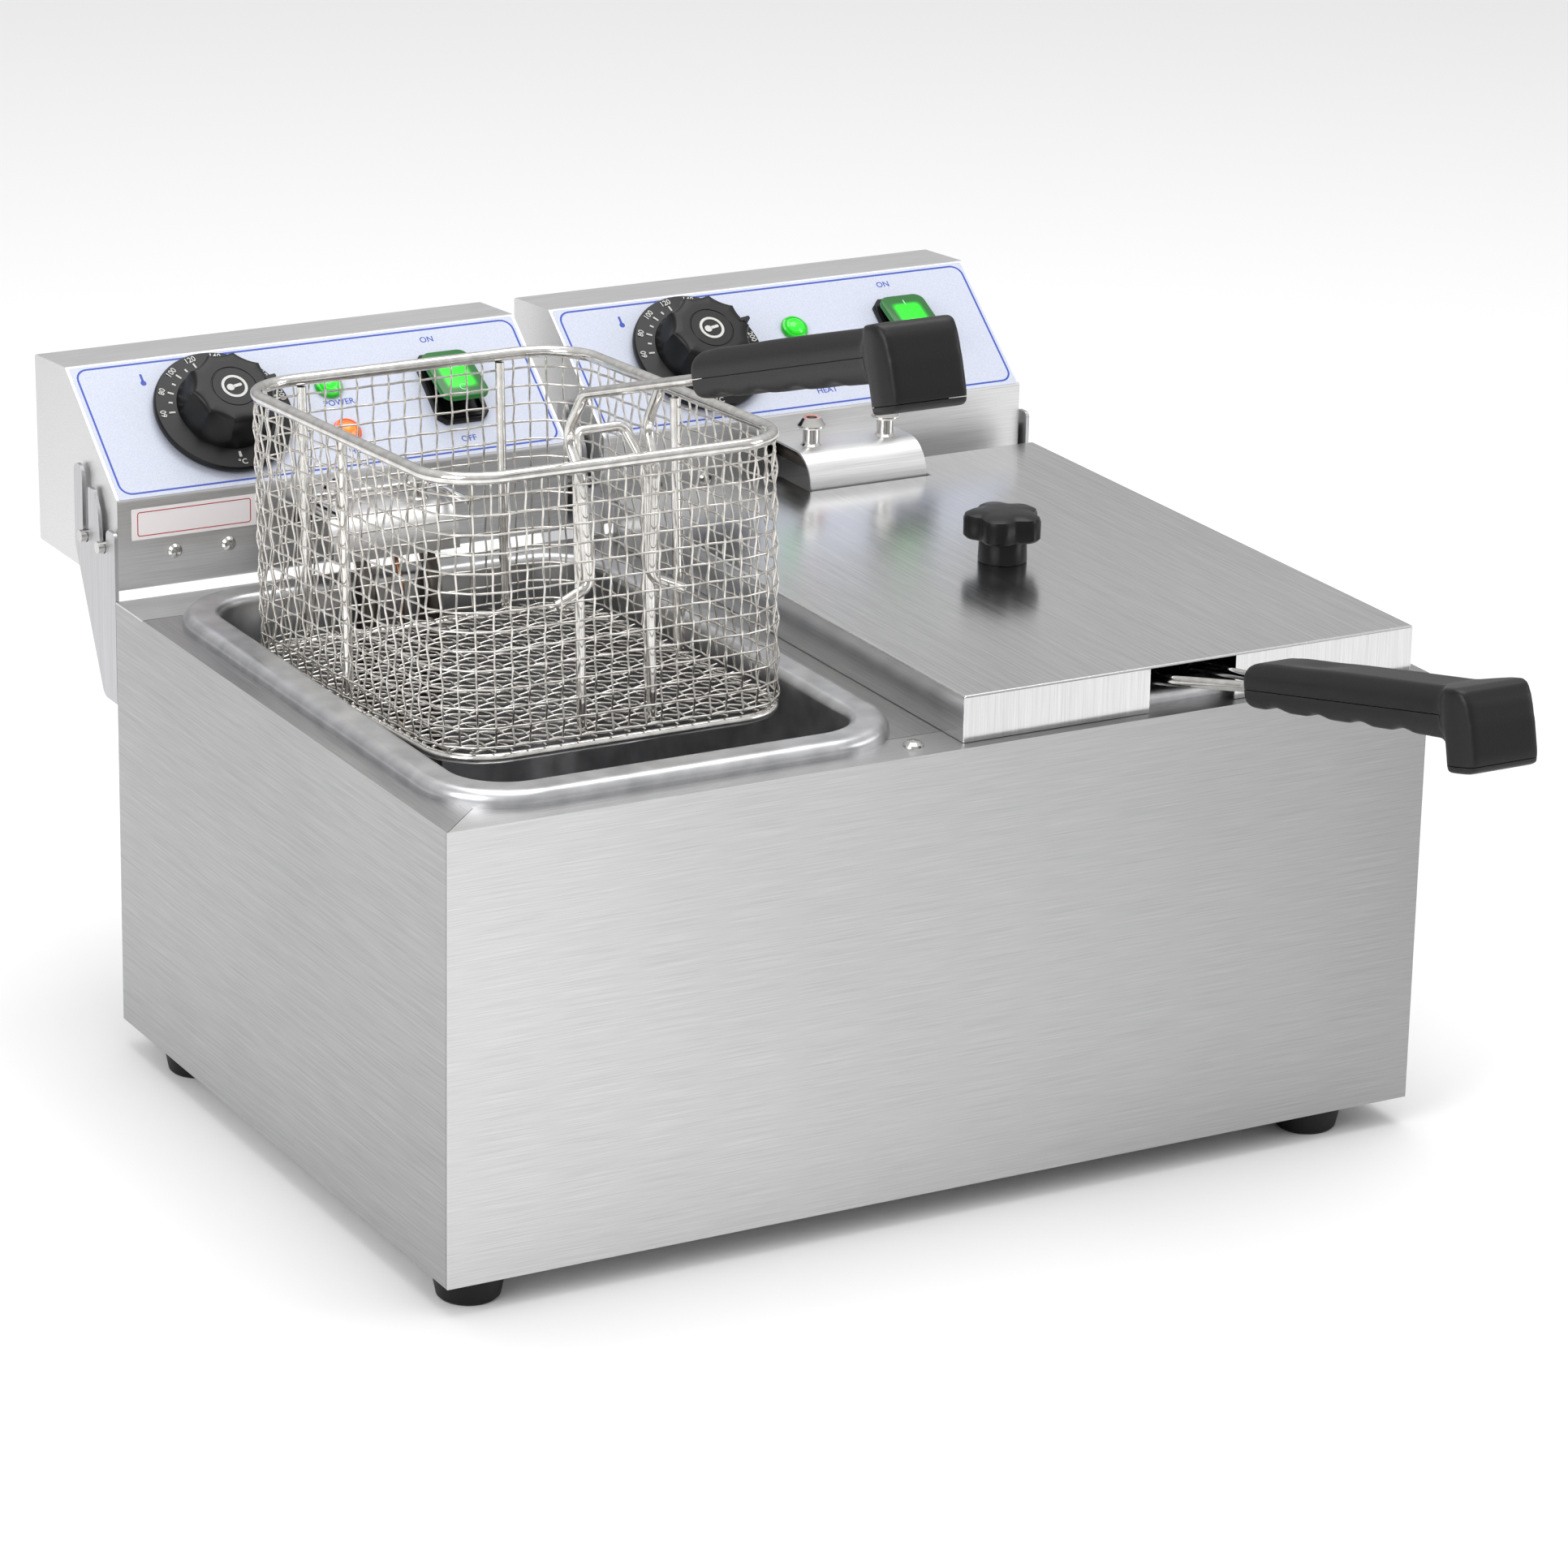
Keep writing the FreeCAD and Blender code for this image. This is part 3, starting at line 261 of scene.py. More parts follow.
def begin(name):
    """Name the primitive just added and go into edit mode with all of it selected."""
    piece = bpy.context.object
    piece.name = piece.data.name = name
    bpy.ops.object.mode_set(mode="EDIT")
    bpy.ops.mesh.select_all(action="SELECT")
    return piece


def finished(piece, finish, body, slot, place, *replaced):
    """Leave edit mode, put the place into the mesh, and tie the piece to its body."""
    if bpy.context.object and bpy.context.object.mode == "EDIT":
        bpy.ops.object.mode_set(mode="OBJECT")
    piece.data.transform(place @ piece.matrix_basis)
    piece.matrix_basis = Matrix.Identity(4)
    piece.data.materials.clear()
    piece.data.materials.append(finish)
    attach(piece, body)
    if replaced:
        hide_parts(*replaced)
    return piece


def shade(piece, angle=35):
    """Smooth shading, kept sharp over an angle."""
    choose(piece)
    bpy.ops.object.shade_smooth_by_angle(angle=math.radians(angle))


def apply_modifier(piece, kind, **settings):
    """Add a modifier to a piece, set it and apply it."""
    choose(piece)
    modifier = piece.modifiers.new(kind.title(), kind)
    for key, value in settings.items():
        setattr(modifier, key, value)
    bpy.ops.object.modifier_apply(modifier=modifier.name)


def thicken(height, base=0.0):
    """Extrude the flat mesh in edit mode up by a height, from a base height, and close it."""
    bpy.ops.mesh.select_all(action="SELECT")
    bpy.ops.transform.translate(value=(0, 0, base))
    bpy.ops.mesh.extrude_region_move(TRANSFORM_OT_translate={"value": (0, 0, height)})
    bpy.ops.mesh.select_all(action="SELECT")
    bpy.ops.mesh.normals_make_consistent(inside=False)


def rounded_sheet(name, low, high, radius, thickness, base=0.0, corner_steps=6):
    """A rounded rectangle between two (x, y) corners, in mm: flat, or thickened up from a base height."""
    deselect()
    bpy.ops.mesh.primitive_plane_add(size=1, location=(0, 0, 0))
    piece = begin(name)
    bpy.ops.transform.resize(value=(high[0] - low[0], high[1] - low[1], 1))
    bpy.ops.transform.translate(value=((low[0] + high[0]) / 2, (low[1] + high[1]) / 2, 0))
    bpy.ops.mesh.bevel(offset=radius, segments=corner_steps, affect="VERTICES")
    if thickness:
        thicken(thickness, base)
    return piece


def rounded_line(name, low, high, radius, width, thickness, base):
    """A rounded rectangle's outline as a thin raised line, in mm."""
    line = rounded_sheet(name, low, high, radius, 0)
    bpy.ops.mesh.inset(thickness=width)
    bpy.ops.mesh.delete(type="FACE")
    thicken(thickness, base)
    return line


INK = 0.03


def printed_word(text, height, at, turn=0, lift=0.0):
    """A word as a thin raised mesh, centred at (x, y), in mm."""
    deselect()
    bpy.ops.object.text_add(location=(0, 0, 0))
    word = bpy.context.object
    word.data.body = text
    word.data.size = height
    word.data.align_x = word.data.align_y = "CENTER"
    word.data.extrude = INK
    word.data.offset = 0.012 * height
    word.data.resolution_u = 3
    bpy.ops.object.convert(target="MESH")
    word = bpy.context.object
    word.data.transform(Matrix.Translation((at[0], at[1], lift)) @ Matrix.Rotation(math.radians(turn), 4, "Z"))
    return word


def joined(name, pieces):
    """Join several mesh objects into one."""
    choose(*pieces)
    bpy.ops.object.join()
    pieces[0].name = pieces[0].data.name = name
    return pieces[0]


def printed_film():
    """Back-printed polyester: pale blue-grey with a fine 0.6 mm sparkle under a satin face."""
    finish, tree, shader = start_material("printed_polyester", "#C6CBDA", 0.0, 0.42)
    place = add_node(tree, "ShaderNodeTexCoord").outputs["Object"]
    grain = add_node(tree, "ShaderNodeTexNoise", {"Scale": 1 / (0.6 * MM), "Detail": 2.0}, {"Vector": place})
    wear(tree, shader, grain.outputs["Fac"], colours=("#B9BED0", "#CCD1DE"))
    relief = add_node(tree, "ShaderNodeBump", {"Distance": 0.006 * MM}, {"Height": grain.outputs["Fac"]})
    tree.links.new(relief.outputs["Normal"], shader.inputs["Normal"])
    return finish


film = printed_film()
blue_ink = moulded("blue_ink", "#2B4BAE", 0.45, 0.7, 0.002)
BORDER_LOW, BORDER_HIGH, BORDER_WIDTH, BORDER_CORNER = (-128.8, 2.8), (129.4, 85.4), 1.1, 7
WORD_HEIGHT = 5.2
WORDS = (("ON", (76, 78)), ("OFF", (76.7, 11)), ("POWER", (11.5, 44.4)), ("HEAT", (12.5, 12.2)))
for side in SIDES:
    sheet = rounded_sheet(f"{side}_fascia_film", (-FILM_HALF_WIDTH, FILM_MARGIN[0]),
                          (FILM_HALF_WIDTH, SLANT_LENGTH - FILM_MARGIN[1]), 1.5, FILM_GAUGE)
    finished(sheet, film, HEAD_BODY[side], "black_plastic", fascia[side])
    prints = [rounded_line("border", BORDER_LOW, BORDER_HIGH, BORDER_CORNER, BORDER_WIDTH, 2 * INK, FILM_GAUGE)]
    for text, at in WORDS:
        prints.append(printed_word(text, WORD_HEIGHT, at, lift=FILM_GAUGE + INK))
    prints.append(rounded_sheet("thermometer_stem", (-93.7, 73), (-92.3, 78), 0.6, 2 * INK, FILM_GAUGE))
    prints.append(rounded_sheet("thermometer_bulb", (-94.6, 70.4), (-91.4, 73.6), 1.5, 2 * INK, FILM_GAUGE))
    finished(joined(f"{side}_fascia_print", prints), blue_ink, HEAD_BODY[side], "black_plastic", fascia[side])

# ---------------------------------------------------------------- blank sticker
# A glossy paper sticker with a thin red printed frame, stuck on the left head's upright front. It
# carries no words.

STICKER_LOW, STICKER_HIGH, STICKER_GAUGE = (-124.5, 30.5), (-53, 47.5), 0.15
FRAME_LOW, FRAME_HIGH, FRAME_CORNER, FRAME_LINE = (-121.3, 32.3), (-56.2, 45.7), 1.5, 0.5
HEAD_LIFT = 3.4
paper = moulded("sticker_paper", "#F8F2F2", 0.5, 1, 0.004)
red_ink = moulded("red_ink", "#B8282C", 0.5, 1, 0.002)
low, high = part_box("left_head_shell")
face_up = Matrix.Translation(((low[0] + high[0]) / 2, low[1], low[2] - HEAD_LIFT * MM)) @ \
    Matrix.Rotation(math.radians(90), 4, "X") @ Matrix.Scale(MM, 4)
label = rounded_sheet("left_head_sticker", STICKER_LOW, STICKER_HIGH, 0.5, STICKER_GAUGE)
finished(label, paper, "left_head", "ceramic", face_up)
frame_line = rounded_line("left_head_sticker_frame", FRAME_LOW, FRAME_HIGH, FRAME_CORNER, FRAME_LINE, 0.05,
                          STICKER_GAUGE)
finished(frame_line, red_ink, "left_head", "ceramic", face_up)

# ---------------------------------------------------------------- thermostat knobs
# Black phenolic dials: a wide skirt with printed degrees, and a fluted grip with a flat top that
# carries a printed thermometer in a ring. Each turns on the thermostat's spindle.

phenolic = moulded("phenolic_black", "#0C0C0D", 0.34, 0.7, 0.008, 0.32)
dial_paint = moulded("dial_paint", "#C9C9C6", 0.5, 1, 0.002)
FLUTES = 10


def turned(name, profile, steps=96):
    """Spin a chain of (radius, height) points about Z, as on a lathe, in mm."""
    deselect()
    bpy.ops.mesh.primitive_plane_add(size=1, location=(0, 0, 0))
    piece = begin(name)
    bpy.ops.mesh.merge(type="CENTER")
    bpy.ops.transform.translate(value=(profile[0][0], 0, profile[0][1]))
    for before, after in zip(profile, profile[1:]):
        bpy.ops.mesh.extrude_vertices_move(TRANSFORM_OT_translate={
            "value": (after[0] - before[0], 0, after[1] - before[1])})
    bpy.ops.mesh.select_all(action="SELECT")
    bpy.ops.mesh.spin(steps=steps, angle=2 * math.pi, center=(0, 0, 0), axis=(0, 0, 1))
    bpy.ops.mesh.select_all(action="SELECT")
    bpy.ops.mesh.remove_doubles(threshold=0.001)
    bpy.ops.mesh.normals_make_consistent(inside=False)
    bpy.ops.object.mode_set(mode="OBJECT")
    return piece


def flute(piece, count, depth, inner, low, high):
    """Hollow a ring of flutes into a turned piece, from nothing at one height to full depth at another."""
    for vertex in piece.data.vertices:
        reach = math.hypot(vertex.co.x, vertex.co.y)
        if reach > inner and vertex.co.z > low:
            share = math.atan2(vertex.co.y, vertex.co.x) * count / (2 * math.pi) % 1
            hollow = 1 - abs(2 * share - 1) ** 2.2
            shrink = 1 - depth * hollow * min(1, (vertex.co.z - low) / (high - low)) * min(1, (reach - inner) / 8)
            vertex.co.x *= shrink
            vertex.co.y *= shrink


def spun(piece, degrees):
    """Turn a piece's mesh about Z."""
    if piece.mode == "EDIT":
        bpy.ops.object.mode_set(mode="OBJECT")
    piece.data.transform(Matrix.Rotation(math.radians(degrees), 4, "Z"))
    return piece


def dial_tick(near, far, width, degrees):
    """A short painted line on the skirt, along a radius."""
    return spun(rounded_sheet("tick", (near, -width / 2), (far, width / 2), 0.2, 0.45, SKIRT_TOP), degrees)


KNOB_PROFILE = [
    (0, 5.2), (6, 5.2), (6, 2.2), (37.9, 2.2), (38.4, 2.8), (38.4, 5.2), (37.6, 6.2), (29, 7.6), (26.8, 7.9),
    (26.6, 9), (26.3, 12), (25.9, 15), (25.4, 18), (24.9, 21), (24.4, 24), (23.8, 25.6), (22.8, 26.6),
    (21, 27), (17, 27.1), (12.9, 27.1), (12.6, 26.7), (12.2, 26.7), (11.9, 27.1), (0, 27.2)]
SKIRT_TOP, NUMBER_LIFT, GRIP_TOP = 7.3, 6.95, 27.1
DIAL_NUMBERS, NUMBER_START, NUMBER_STEP = range(60, 201, 20), 177.5, 24.3
NUMBER_HEIGHT, NUMBER_RADIUS, UNIT_TURN, NIB_TURN, ICON_TURN = 4.6, 34.7, 266.5, 9, -80
for side in SIDES:
    place = fascia[side] @ Matrix.Translation((*KNOB_AT, 0))
    knob = turned(f"{side}_knob_moulding", KNOB_PROFILE, 16 * FLUTES)
    flute(knob, FLUTES, 0.1, 14, 10, 24)
    finished(knob, phenolic, f"{side}_knob", "black_plastic", place, f"{side}_knob")
    shade(knob, 40)
    nib = spun(rounded_sheet(f"{side}_knob_nib", (19, -1.1), (25.6, 1.1), 0.7, 4.8, 22.5), NIB_TURN)
    finished(nib, phenolic, f"{side}_knob", "black_plastic", place)
    marks = []
    for number, degrees in enumerate(DIAL_NUMBERS):
        angle = NUMBER_START - NUMBER_STEP * number
        spot = Vector((math.cos(math.radians(angle)), math.sin(math.radians(angle)))) * NUMBER_RADIUS
        marks.append(printed_word(str(degrees), NUMBER_HEIGHT, spot, angle - 90, NUMBER_LIFT))
        marks.append(dial_tick(28.4, 31.8, 1, angle))
        if degrees != DIAL_NUMBERS[-1]:
            marks.append(dial_tick(28.8, 31, 1, angle - NUMBER_STEP / 2))
    marks.append(dial_tick(28.4, 31.8, 1.4, UNIT_TURN))
    marks.append(printed_word("°C", NUMBER_HEIGHT, (-1.5, -NUMBER_RADIUS), 0, NUMBER_LIFT))
    ring = turned("icon_ring", [(5.7, GRIP_TOP), (7.2, GRIP_TOP), (7.2, 27.45), (5.7, 27.45), (5.7, GRIP_TOP)], 48)
    stem = rounded_sheet("icon_stem", (-0.9, -0.8), (0.9, 4.4), 0.8, 0.4, GRIP_TOP)
    bulb = turned("icon_bulb", [(0, GRIP_TOP), (2.1, GRIP_TOP), (2.1, 27.5), (0, 27.5)], 32)
    bulb.data.transform(Matrix.Translation((0, -2.4, 0)))
    marks.append(spun(joined("icon", [ring, stem, bulb]), ICON_TURN))
    finished(joined(f"{side}_knob_marks", marks), dial_paint, f"{side}_knob", "black_plastic", place)

# ---------------------------------------------------------------- indicator lamps
# Snap-in neon lamps, green for power and amber for heat: a stepped lens of clear coloured
# polycarbonate that glows from its middle, pressed into the fascia.


def lit_lens(name, centre, dark, bright, glow, radius):
    """Coloured polycarbonate lit from behind: brightest at the middle, darker to the rim."""
    finish, tree, shader = start_material(name, dark, 0.0, 0.12)
    shader.inputs["Coat Weight"].default_value = 0.6
    place = add_node(tree, "ShaderNodeTexCoord").outputs["Object"]
    apart = add_node(tree, "ShaderNodeVectorMath", {"operation": "DISTANCE", 1: centre}, {0: place})
    fade = add_node(tree, "ShaderNodeMapRange", {
        "From Min": 0.0, "From Max": radius, "To Min": 1.0, "To Max": 0.0},
        {"Value": apart.outputs["Value"]}).outputs["Result"]
    ramp = add_node(tree, "ShaderNodeValToRGB", {"stops": ((0, dark), (1, bright))}, {"Fac": fade})
    tree.links.new(ramp.outputs["Color"], shader.inputs["Base Color"])
    tree.links.new(ramp.outputs["Color"], shader.inputs["Emission Color"])
    shader.inputs["Emission Strength"].default_value = glow
    return finish


LAMP_COLOURS = {"power": ("#0A7A12", "#22F024"), "heat": ("#A82C04", "#FF8A1E")}
LAMP_SLOTS = {"power": "green_lens", "heat": "amber_lens"}
LENS_GLOW, LENS_REACH, LENS_MIDDLE = 0.75, 8.4, (0, 0, 3)
LENS_PROFILE = [
    (0, -2), (6.2, -2), (6.2, 0.3), (7.6, 0.3), (8, 0.8), (8, 1.6), (7.4, 2.6), (6.5, 3.0), (6.1, 2.5),
    (5.7, 2.5), (5.2, 3.6), (4.2, 4.2), (3.9, 3.8), (3.5, 3.8), (2.6, 4.4), (0, 4.6)]
for side in SIDES:
    for lamp, at in LAMPS_AT.items():
        place = fascia[side] @ Matrix.Translation((*at, 0))
        lens = turned(f"{side}_{lamp}_lens", LENS_PROFILE, 48)
        glass = lit_lens(f"{side}_{lamp}_polycarbonate", place @ Vector(LENS_MIDDLE), *LAMP_COLOURS[lamp],
                         LENS_GLOW, LENS_REACH * MM)
        finished(lens, glass, HEAD_BODY[side], LAMP_SLOTS[lamp], place, f"{side}_{lamp}_lamp")
        shade(lens, 30)

# ---------------------------------------------------------------- main switches
# Splash-proof rocker switches: a black bezel with clipped corners, a pleated rubber boot, and a
# green silicone cap over the lit rocker, marked I and O.

BEZEL, BEZEL_RISE, CAP_TILT, CAP_PIVOT = (31.0, 46.0), 4.4, 13.0, 2.9
switch_ink = moulded("switch_ink", "#8FF0A8", 0.4, 1, 0.002)


def silicone_cap(name, centre, up):
    """Green silicone lit from beneath: a bright oblong with soft edges inside a dark green border."""
    finish, tree, shader = start_material(name, "#064A12", 0.0, 0.3)
    shader.inputs["Coat Weight"].default_value = 0.1
    place = add_node(tree, "ShaderNodeTexCoord").outputs["Object"]
    local = add_node(tree, "ShaderNodeMapping", {
        "vector_type": "TEXTURE", "Location": centre, "Rotation": up.to_euler()}, {"Vector": place})
    parts = add_node(tree, "ShaderNodeSeparateXYZ", links={"Vector": local.outputs["Vector"]})
    edges = []
    for axis, half in (("X", 8.6 * MM), ("Y", 11.5 * MM)):
        size = add_node(tree, "ShaderNodeMath", {"operation": "ABSOLUTE"}, {0: parts.outputs[axis]}).outputs[0]
        edges.append(add_node(tree, "ShaderNodeMapRange", {
            "interpolation_type": "SMOOTHSTEP", "From Min": half - 3.6 * MM, "From Max": half + 1.6 * MM,
            "To Min": 1.0, "To Max": 0.0}, {"Value": size}).outputs["Result"])
    lit = add_node(tree, "ShaderNodeMath", {"operation": "MULTIPLY"}, {0: edges[0], 1: edges[1]}).outputs[0]
    ramp = add_node(tree, "ShaderNodeValToRGB", {"stops": ((0, "#064F14"), (1, "#12E812"))}, {"Fac": lit})
    tree.links.new(ramp.outputs["Color"], shader.inputs["Base Color"])
    tree.links.new(ramp.outputs["Color"], shader.inputs["Emission Color"])
    shader.inputs["Emission Strength"].default_value = 0.8
    return finish


BEZEL_CORNER, PLEAT_CORNER, CAP_CORNER = 4.5, 5, 6
PLEATS = ((20.5, 27, 3.2, 4.6), (23.5, 31, 4.6, 5.6), (22, 29.5, 5.6, 6.2), (26, 35, 6.2, 7.0))
CAP_HALF, CAP_BASE, CAP_DEPTH, CAP_EDGE, CAP_FACE = (14, 19), 6.8, 2.8, 1.1, 9.55
for side in SIDES:
    place = fascia[side] @ Matrix.Translation((*SWITCH_AT, 0))
    half_x, half_y = BEZEL[0] / 2, BEZEL[1] / 2
    bezel = rounded_sheet(f"{side}_switch_bezel", (-half_x, -half_y), (half_x, half_y), BEZEL_CORNER, 0,
                          corner_steps=1)
    # Sides, a sloping shoulder, a raised rim, and the pocket inside it that holds the boot.
    bpy.ops.mesh.extrude_region_move(TRANSFORM_OT_translate={"value": (0, 0, 2.4)})
    bpy.ops.mesh.inset(thickness=0.8)
    bpy.ops.transform.translate(value=(0, 0, 0.8))
    bpy.ops.mesh.inset(thickness=1.2)
    bpy.ops.mesh.extrude_region_move(TRANSFORM_OT_translate={"value": (0, 0, BEZEL_RISE - 3.4)})
    bpy.ops.mesh.inset(thickness=1.6)
    bpy.ops.mesh.extrude_region_move(TRANSFORM_OT_translate={"value": (0, 0, -3.0)})
    bpy.ops.mesh.select_all(action="SELECT")
    bpy.ops.mesh.normals_make_consistent(inside=False)
    finished(bezel, phenolic, HEAD_BODY[side], "black_plastic", place, f"{side}_switch_frame")

    tip = place @ Matrix.Translation((0, 0, CAP_PIVOT)) @ Matrix.Rotation(math.radians(-CAP_TILT), 4, "X")
    layers = []
    for width, length, foot, top in PLEATS:
        layers.append(rounded_sheet("pleat", (-width / 2, -length / 2), (width / 2, length / 2), PLEAT_CORNER,
                                    top - foot, foot))
        bpy.ops.mesh.bevel(offset=0.25, segments=2)
    boot = joined(f"{side}_switch_boot", layers)
    finished(boot, nylon, f"{side}_rocker", "black_plastic", tip)
    shade(boot)

    cap = rounded_sheet(f"{side}_switch_cap", (-CAP_HALF[0], -CAP_HALF[1]), CAP_HALF, CAP_CORNER, CAP_DEPTH,
                        CAP_BASE, corner_steps=8)
    bpy.ops.mesh.select_all(action="DESELECT")
    bpy.ops.object.mode_set(mode="OBJECT")
    for edge in cap.data.edges:
        edge.select = all(cap.data.vertices[v].co.z > CAP_BASE + CAP_DEPTH - 0.1 for v in edge.vertices)
    bpy.ops.object.mode_set(mode="EDIT")
    bpy.ops.mesh.bevel(offset=CAP_EDGE, segments=4)
    silicone = silicone_cap(f"{side}_switch_silicone", tip @ Vector((0, 0, CAP_BASE + CAP_DEPTH)),
                            tip.to_3x3().normalized())
    finished(cap, silicone, f"{side}_rocker", "switch_lens", tip, f"{side}_rocker")
    shade(cap)

    line = rounded_sheet("on_line", (-0.3, 10.2), (0.3, 14.2), 0.2, 0.15, CAP_FACE)
    circle = turned("off_circle", [
        (1.9, CAP_FACE), (2.4, CAP_FACE), (2.4, 9.7), (1.9, 9.7), (1.9, CAP_FACE)], 32)
    circle.data.transform(Matrix.Translation((0, -11.4, 0)))
    finished(joined(f"{side}_switch_marks", [line, circle]), switch_ink, f"{side}_rocker", "switch_lens", tip)

# ---------------------------------------------------------------- lid
# A lid folded from stainless sheet and brushed front to back, with a five-lobed phenolic knob held by
# a stud through its top. It stands on the right well's rim.

lid_steel = brushed_stainless("brushed_lid", "y", "#CACACA", "#E8E8E8", 0.14, 0.25, fold=True)
dress(lid_steel, "lid")
low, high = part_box("lid_knob")
lid_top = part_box("lid")[1][2]
lid_middle = Matrix.Translation(((low[0] + high[0]) / 2, (low[1] + high[1]) / 2, lid_top)) @ Matrix.Scale(MM, 4)
lid_knob = turned("lid_star_knob", [
    (0, 0.1), (12.6, 0.1), (13.1, 0.8), (12.7, 12.4), (13.2, 13.0), (19.8, 13.2), (21.2, 14.6), (21.3, 23.6),
    (20.4, 25.8), (17, 27.4), (10, 28), (0, 28.2)], 120)
for vertex in lid_knob.data.vertices:
    reach = math.hypot(vertex.co.x, vertex.co.y)
    if reach > 13.3:
        turn = 5 * (math.atan2(vertex.co.y, vertex.co.x) - math.radians(12))
        shrink = 1 - 0.21 * (0.5 - 0.5 * math.cos(turn)) ** 1.5
        vertex.co.x *= shrink
        vertex.co.y *= shrink
finished(lid_knob, phenolic, "lid", "black_plastic", lid_middle)
shade(lid_knob, 40)
stud = turned("lid_knob_stud", [
    (0, -7.8), (2.2, -7.8), (2.4, -7.4), (2.4, -4.2), (4.8, -4.2), (5, -3.9), (5, -1.5), (4.8, -1.3), (0, -1.3)], 24)
finished(stud, bright_steel, "lid", "polished_steel", lid_middle, "lid_knob")

# ---------------------------------------------------------------- basket weave
# Crimped wire mesh, 1.2 mm bright steel woven over and under at about 9 mm, wrapped round the frame
# and folded in at the floor. Tin plating has run into the crossings and joined them.

WIRE = 0.6
WALL_PITCH, ROW_PITCH = 9.13, 9.7
BASKET_HALF = (97.0, 125.5)
BASKET_CORNER = 33.0
WEAVE_TOP, WEAVE_FLOOR = -3.6, -136.6


def tinned_wire(name, dark, light, low, high):
    """Tinned steel wire: bright metal, a touch warm, with a soft 6 mm change in its shine."""
    finish, tree, shader = start_material(name, light, 1.0, high)
    place = add_node(tree, "ShaderNodeTexCoord").outputs["Object"]
    cloud = add_node(tree, "ShaderNodeTexNoise", {"Scale": 1 / (6 * MM), "Detail": 2.0}, {"Vector": place})
    wear(tree, shader, cloud.outputs["Fac"], (dark, light), (low, high))
    return finish


weave_wire = tinned_wire("tinned_mesh_wire", "#CFCBC4", "#EEEBE6", 0.12, 0.22)
frame_wire = tinned_wire("plated_frame_wire", "#D8D6D2", "#F2F0ED", 0.08, 0.15)


def round_the_walls(distance):
    """Point and outward direction at a distance along the basket's wall line, from the middle of the front."""
    straight_x, straight_y = BASKET_HALF[0] - BASKET_CORNER, BASKET_HALF[1] - BASKET_CORNER
    arc = math.pi / 2 * BASKET_CORNER
    legs = [straight_x, arc, 2 * straight_y, arc, 2 * straight_x, arc, 2 * straight_y, arc, straight_x]
    distance %= sum(legs)
    starts = [((0, -BASKET_HALF[1]), 0), ((straight_x, -straight_y), -90), ((BASKET_HALF[0], -straight_y), 90),
              ((straight_x, straight_y), 0), ((straight_x, BASKET_HALF[1]), 180), ((-straight_x, straight_y), 90),
              ((-BASKET_HALF[0], straight_y), 270), ((-straight_x, -straight_y), 180),
              ((-straight_x, -BASKET_HALF[1]), 0)]
    for leg, (start, heading) in zip(legs, starts):
        if distance <= leg:
            break
        distance -= leg
    if leg == arc:
        angle = math.radians(heading) + distance / BASKET_CORNER
        out = Vector((math.cos(angle), math.sin(angle), 0))
        return Vector((*start, 0)) + out * BASKET_CORNER, out
    heading = math.radians(heading)
    along = Vector((math.cos(heading), math.sin(heading), 0))
    return Vector((*start, 0)) + along * distance, Vector((along.y, -along.x, 0))


def wire_runs(name, runs, radius):
    """Bend one round wire along each run of points, in mm."""
    curve = bpy.data.curves.new(name, "CURVE")
    curve.dimensions = "3D"
    curve.bevel_depth = radius
    curve.bevel_resolution = 1
    curve.use_fill_caps = True
    for points, closed in runs:
        spline = curve.splines.new("POLY")
        spline.points.add(len(points) - 1)
        for place, point in zip(spline.points, points):
            place.co = (*point, 1)
        spline.use_cyclic_u = closed
    piece = bpy.data.objects.new(name, curve)
    bpy.context.collection.objects.link(piece)
    choose(piece)
    bpy.ops.object.convert(target="MESH")
    piece = bpy.context.object
    bpy.ops.object.shade_smooth()
    return piece


girth = 4 * (BASKET_HALF[0] + BASKET_HALF[1] - 2 * BASKET_CORNER) + 2 * math.pi * BASKET_CORNER
columns = 2 * round(girth / WALL_PITCH / 2)
rows = round((WEAVE_TOP - WEAVE_FLOOR) / ROW_PITCH)
COLUMN_SWING, ROW_SWING, STEPS = 0.72, 0.48, 4


def wall_weave():
    """The walls: level rows that weave in and out of the uprights."""
    runs = []
    for row in range(rows):
        height = WEAVE_TOP - (row + 0.5) * ROW_PITCH
        points = []
        for step in range(columns * STEPS):
            point, out = round_the_walls(step * girth / columns / STEPS)
            swing = ROW_SWING * math.cos(math.pi * step / STEPS) * (-1) ** row
            points.append(point + out * swing + Vector((0, 0, height)))
        runs.append((points, True))
    return runs


def upright_weave():
    """The uprights, which pass each row on its other side and end at the rim."""
    runs = []
    for column in range(columns):
        spot, out = round_the_walls(column * girth / columns)
        points = []
        for step in range(rows * STEPS + STEPS):
            height = WEAVE_TOP + 0.3 - (step - STEPS / 2) * ROW_PITCH / STEPS
            if height < WEAVE_FLOOR:
                break
            swing = COLUMN_SWING * math.cos(math.pi * step / STEPS) * (-1) ** (column + 1)
            points.append(spot + out * swing + Vector((0, 0, min(height, WEAVE_TOP + 2))))
        runs.append((points, False))
    return runs


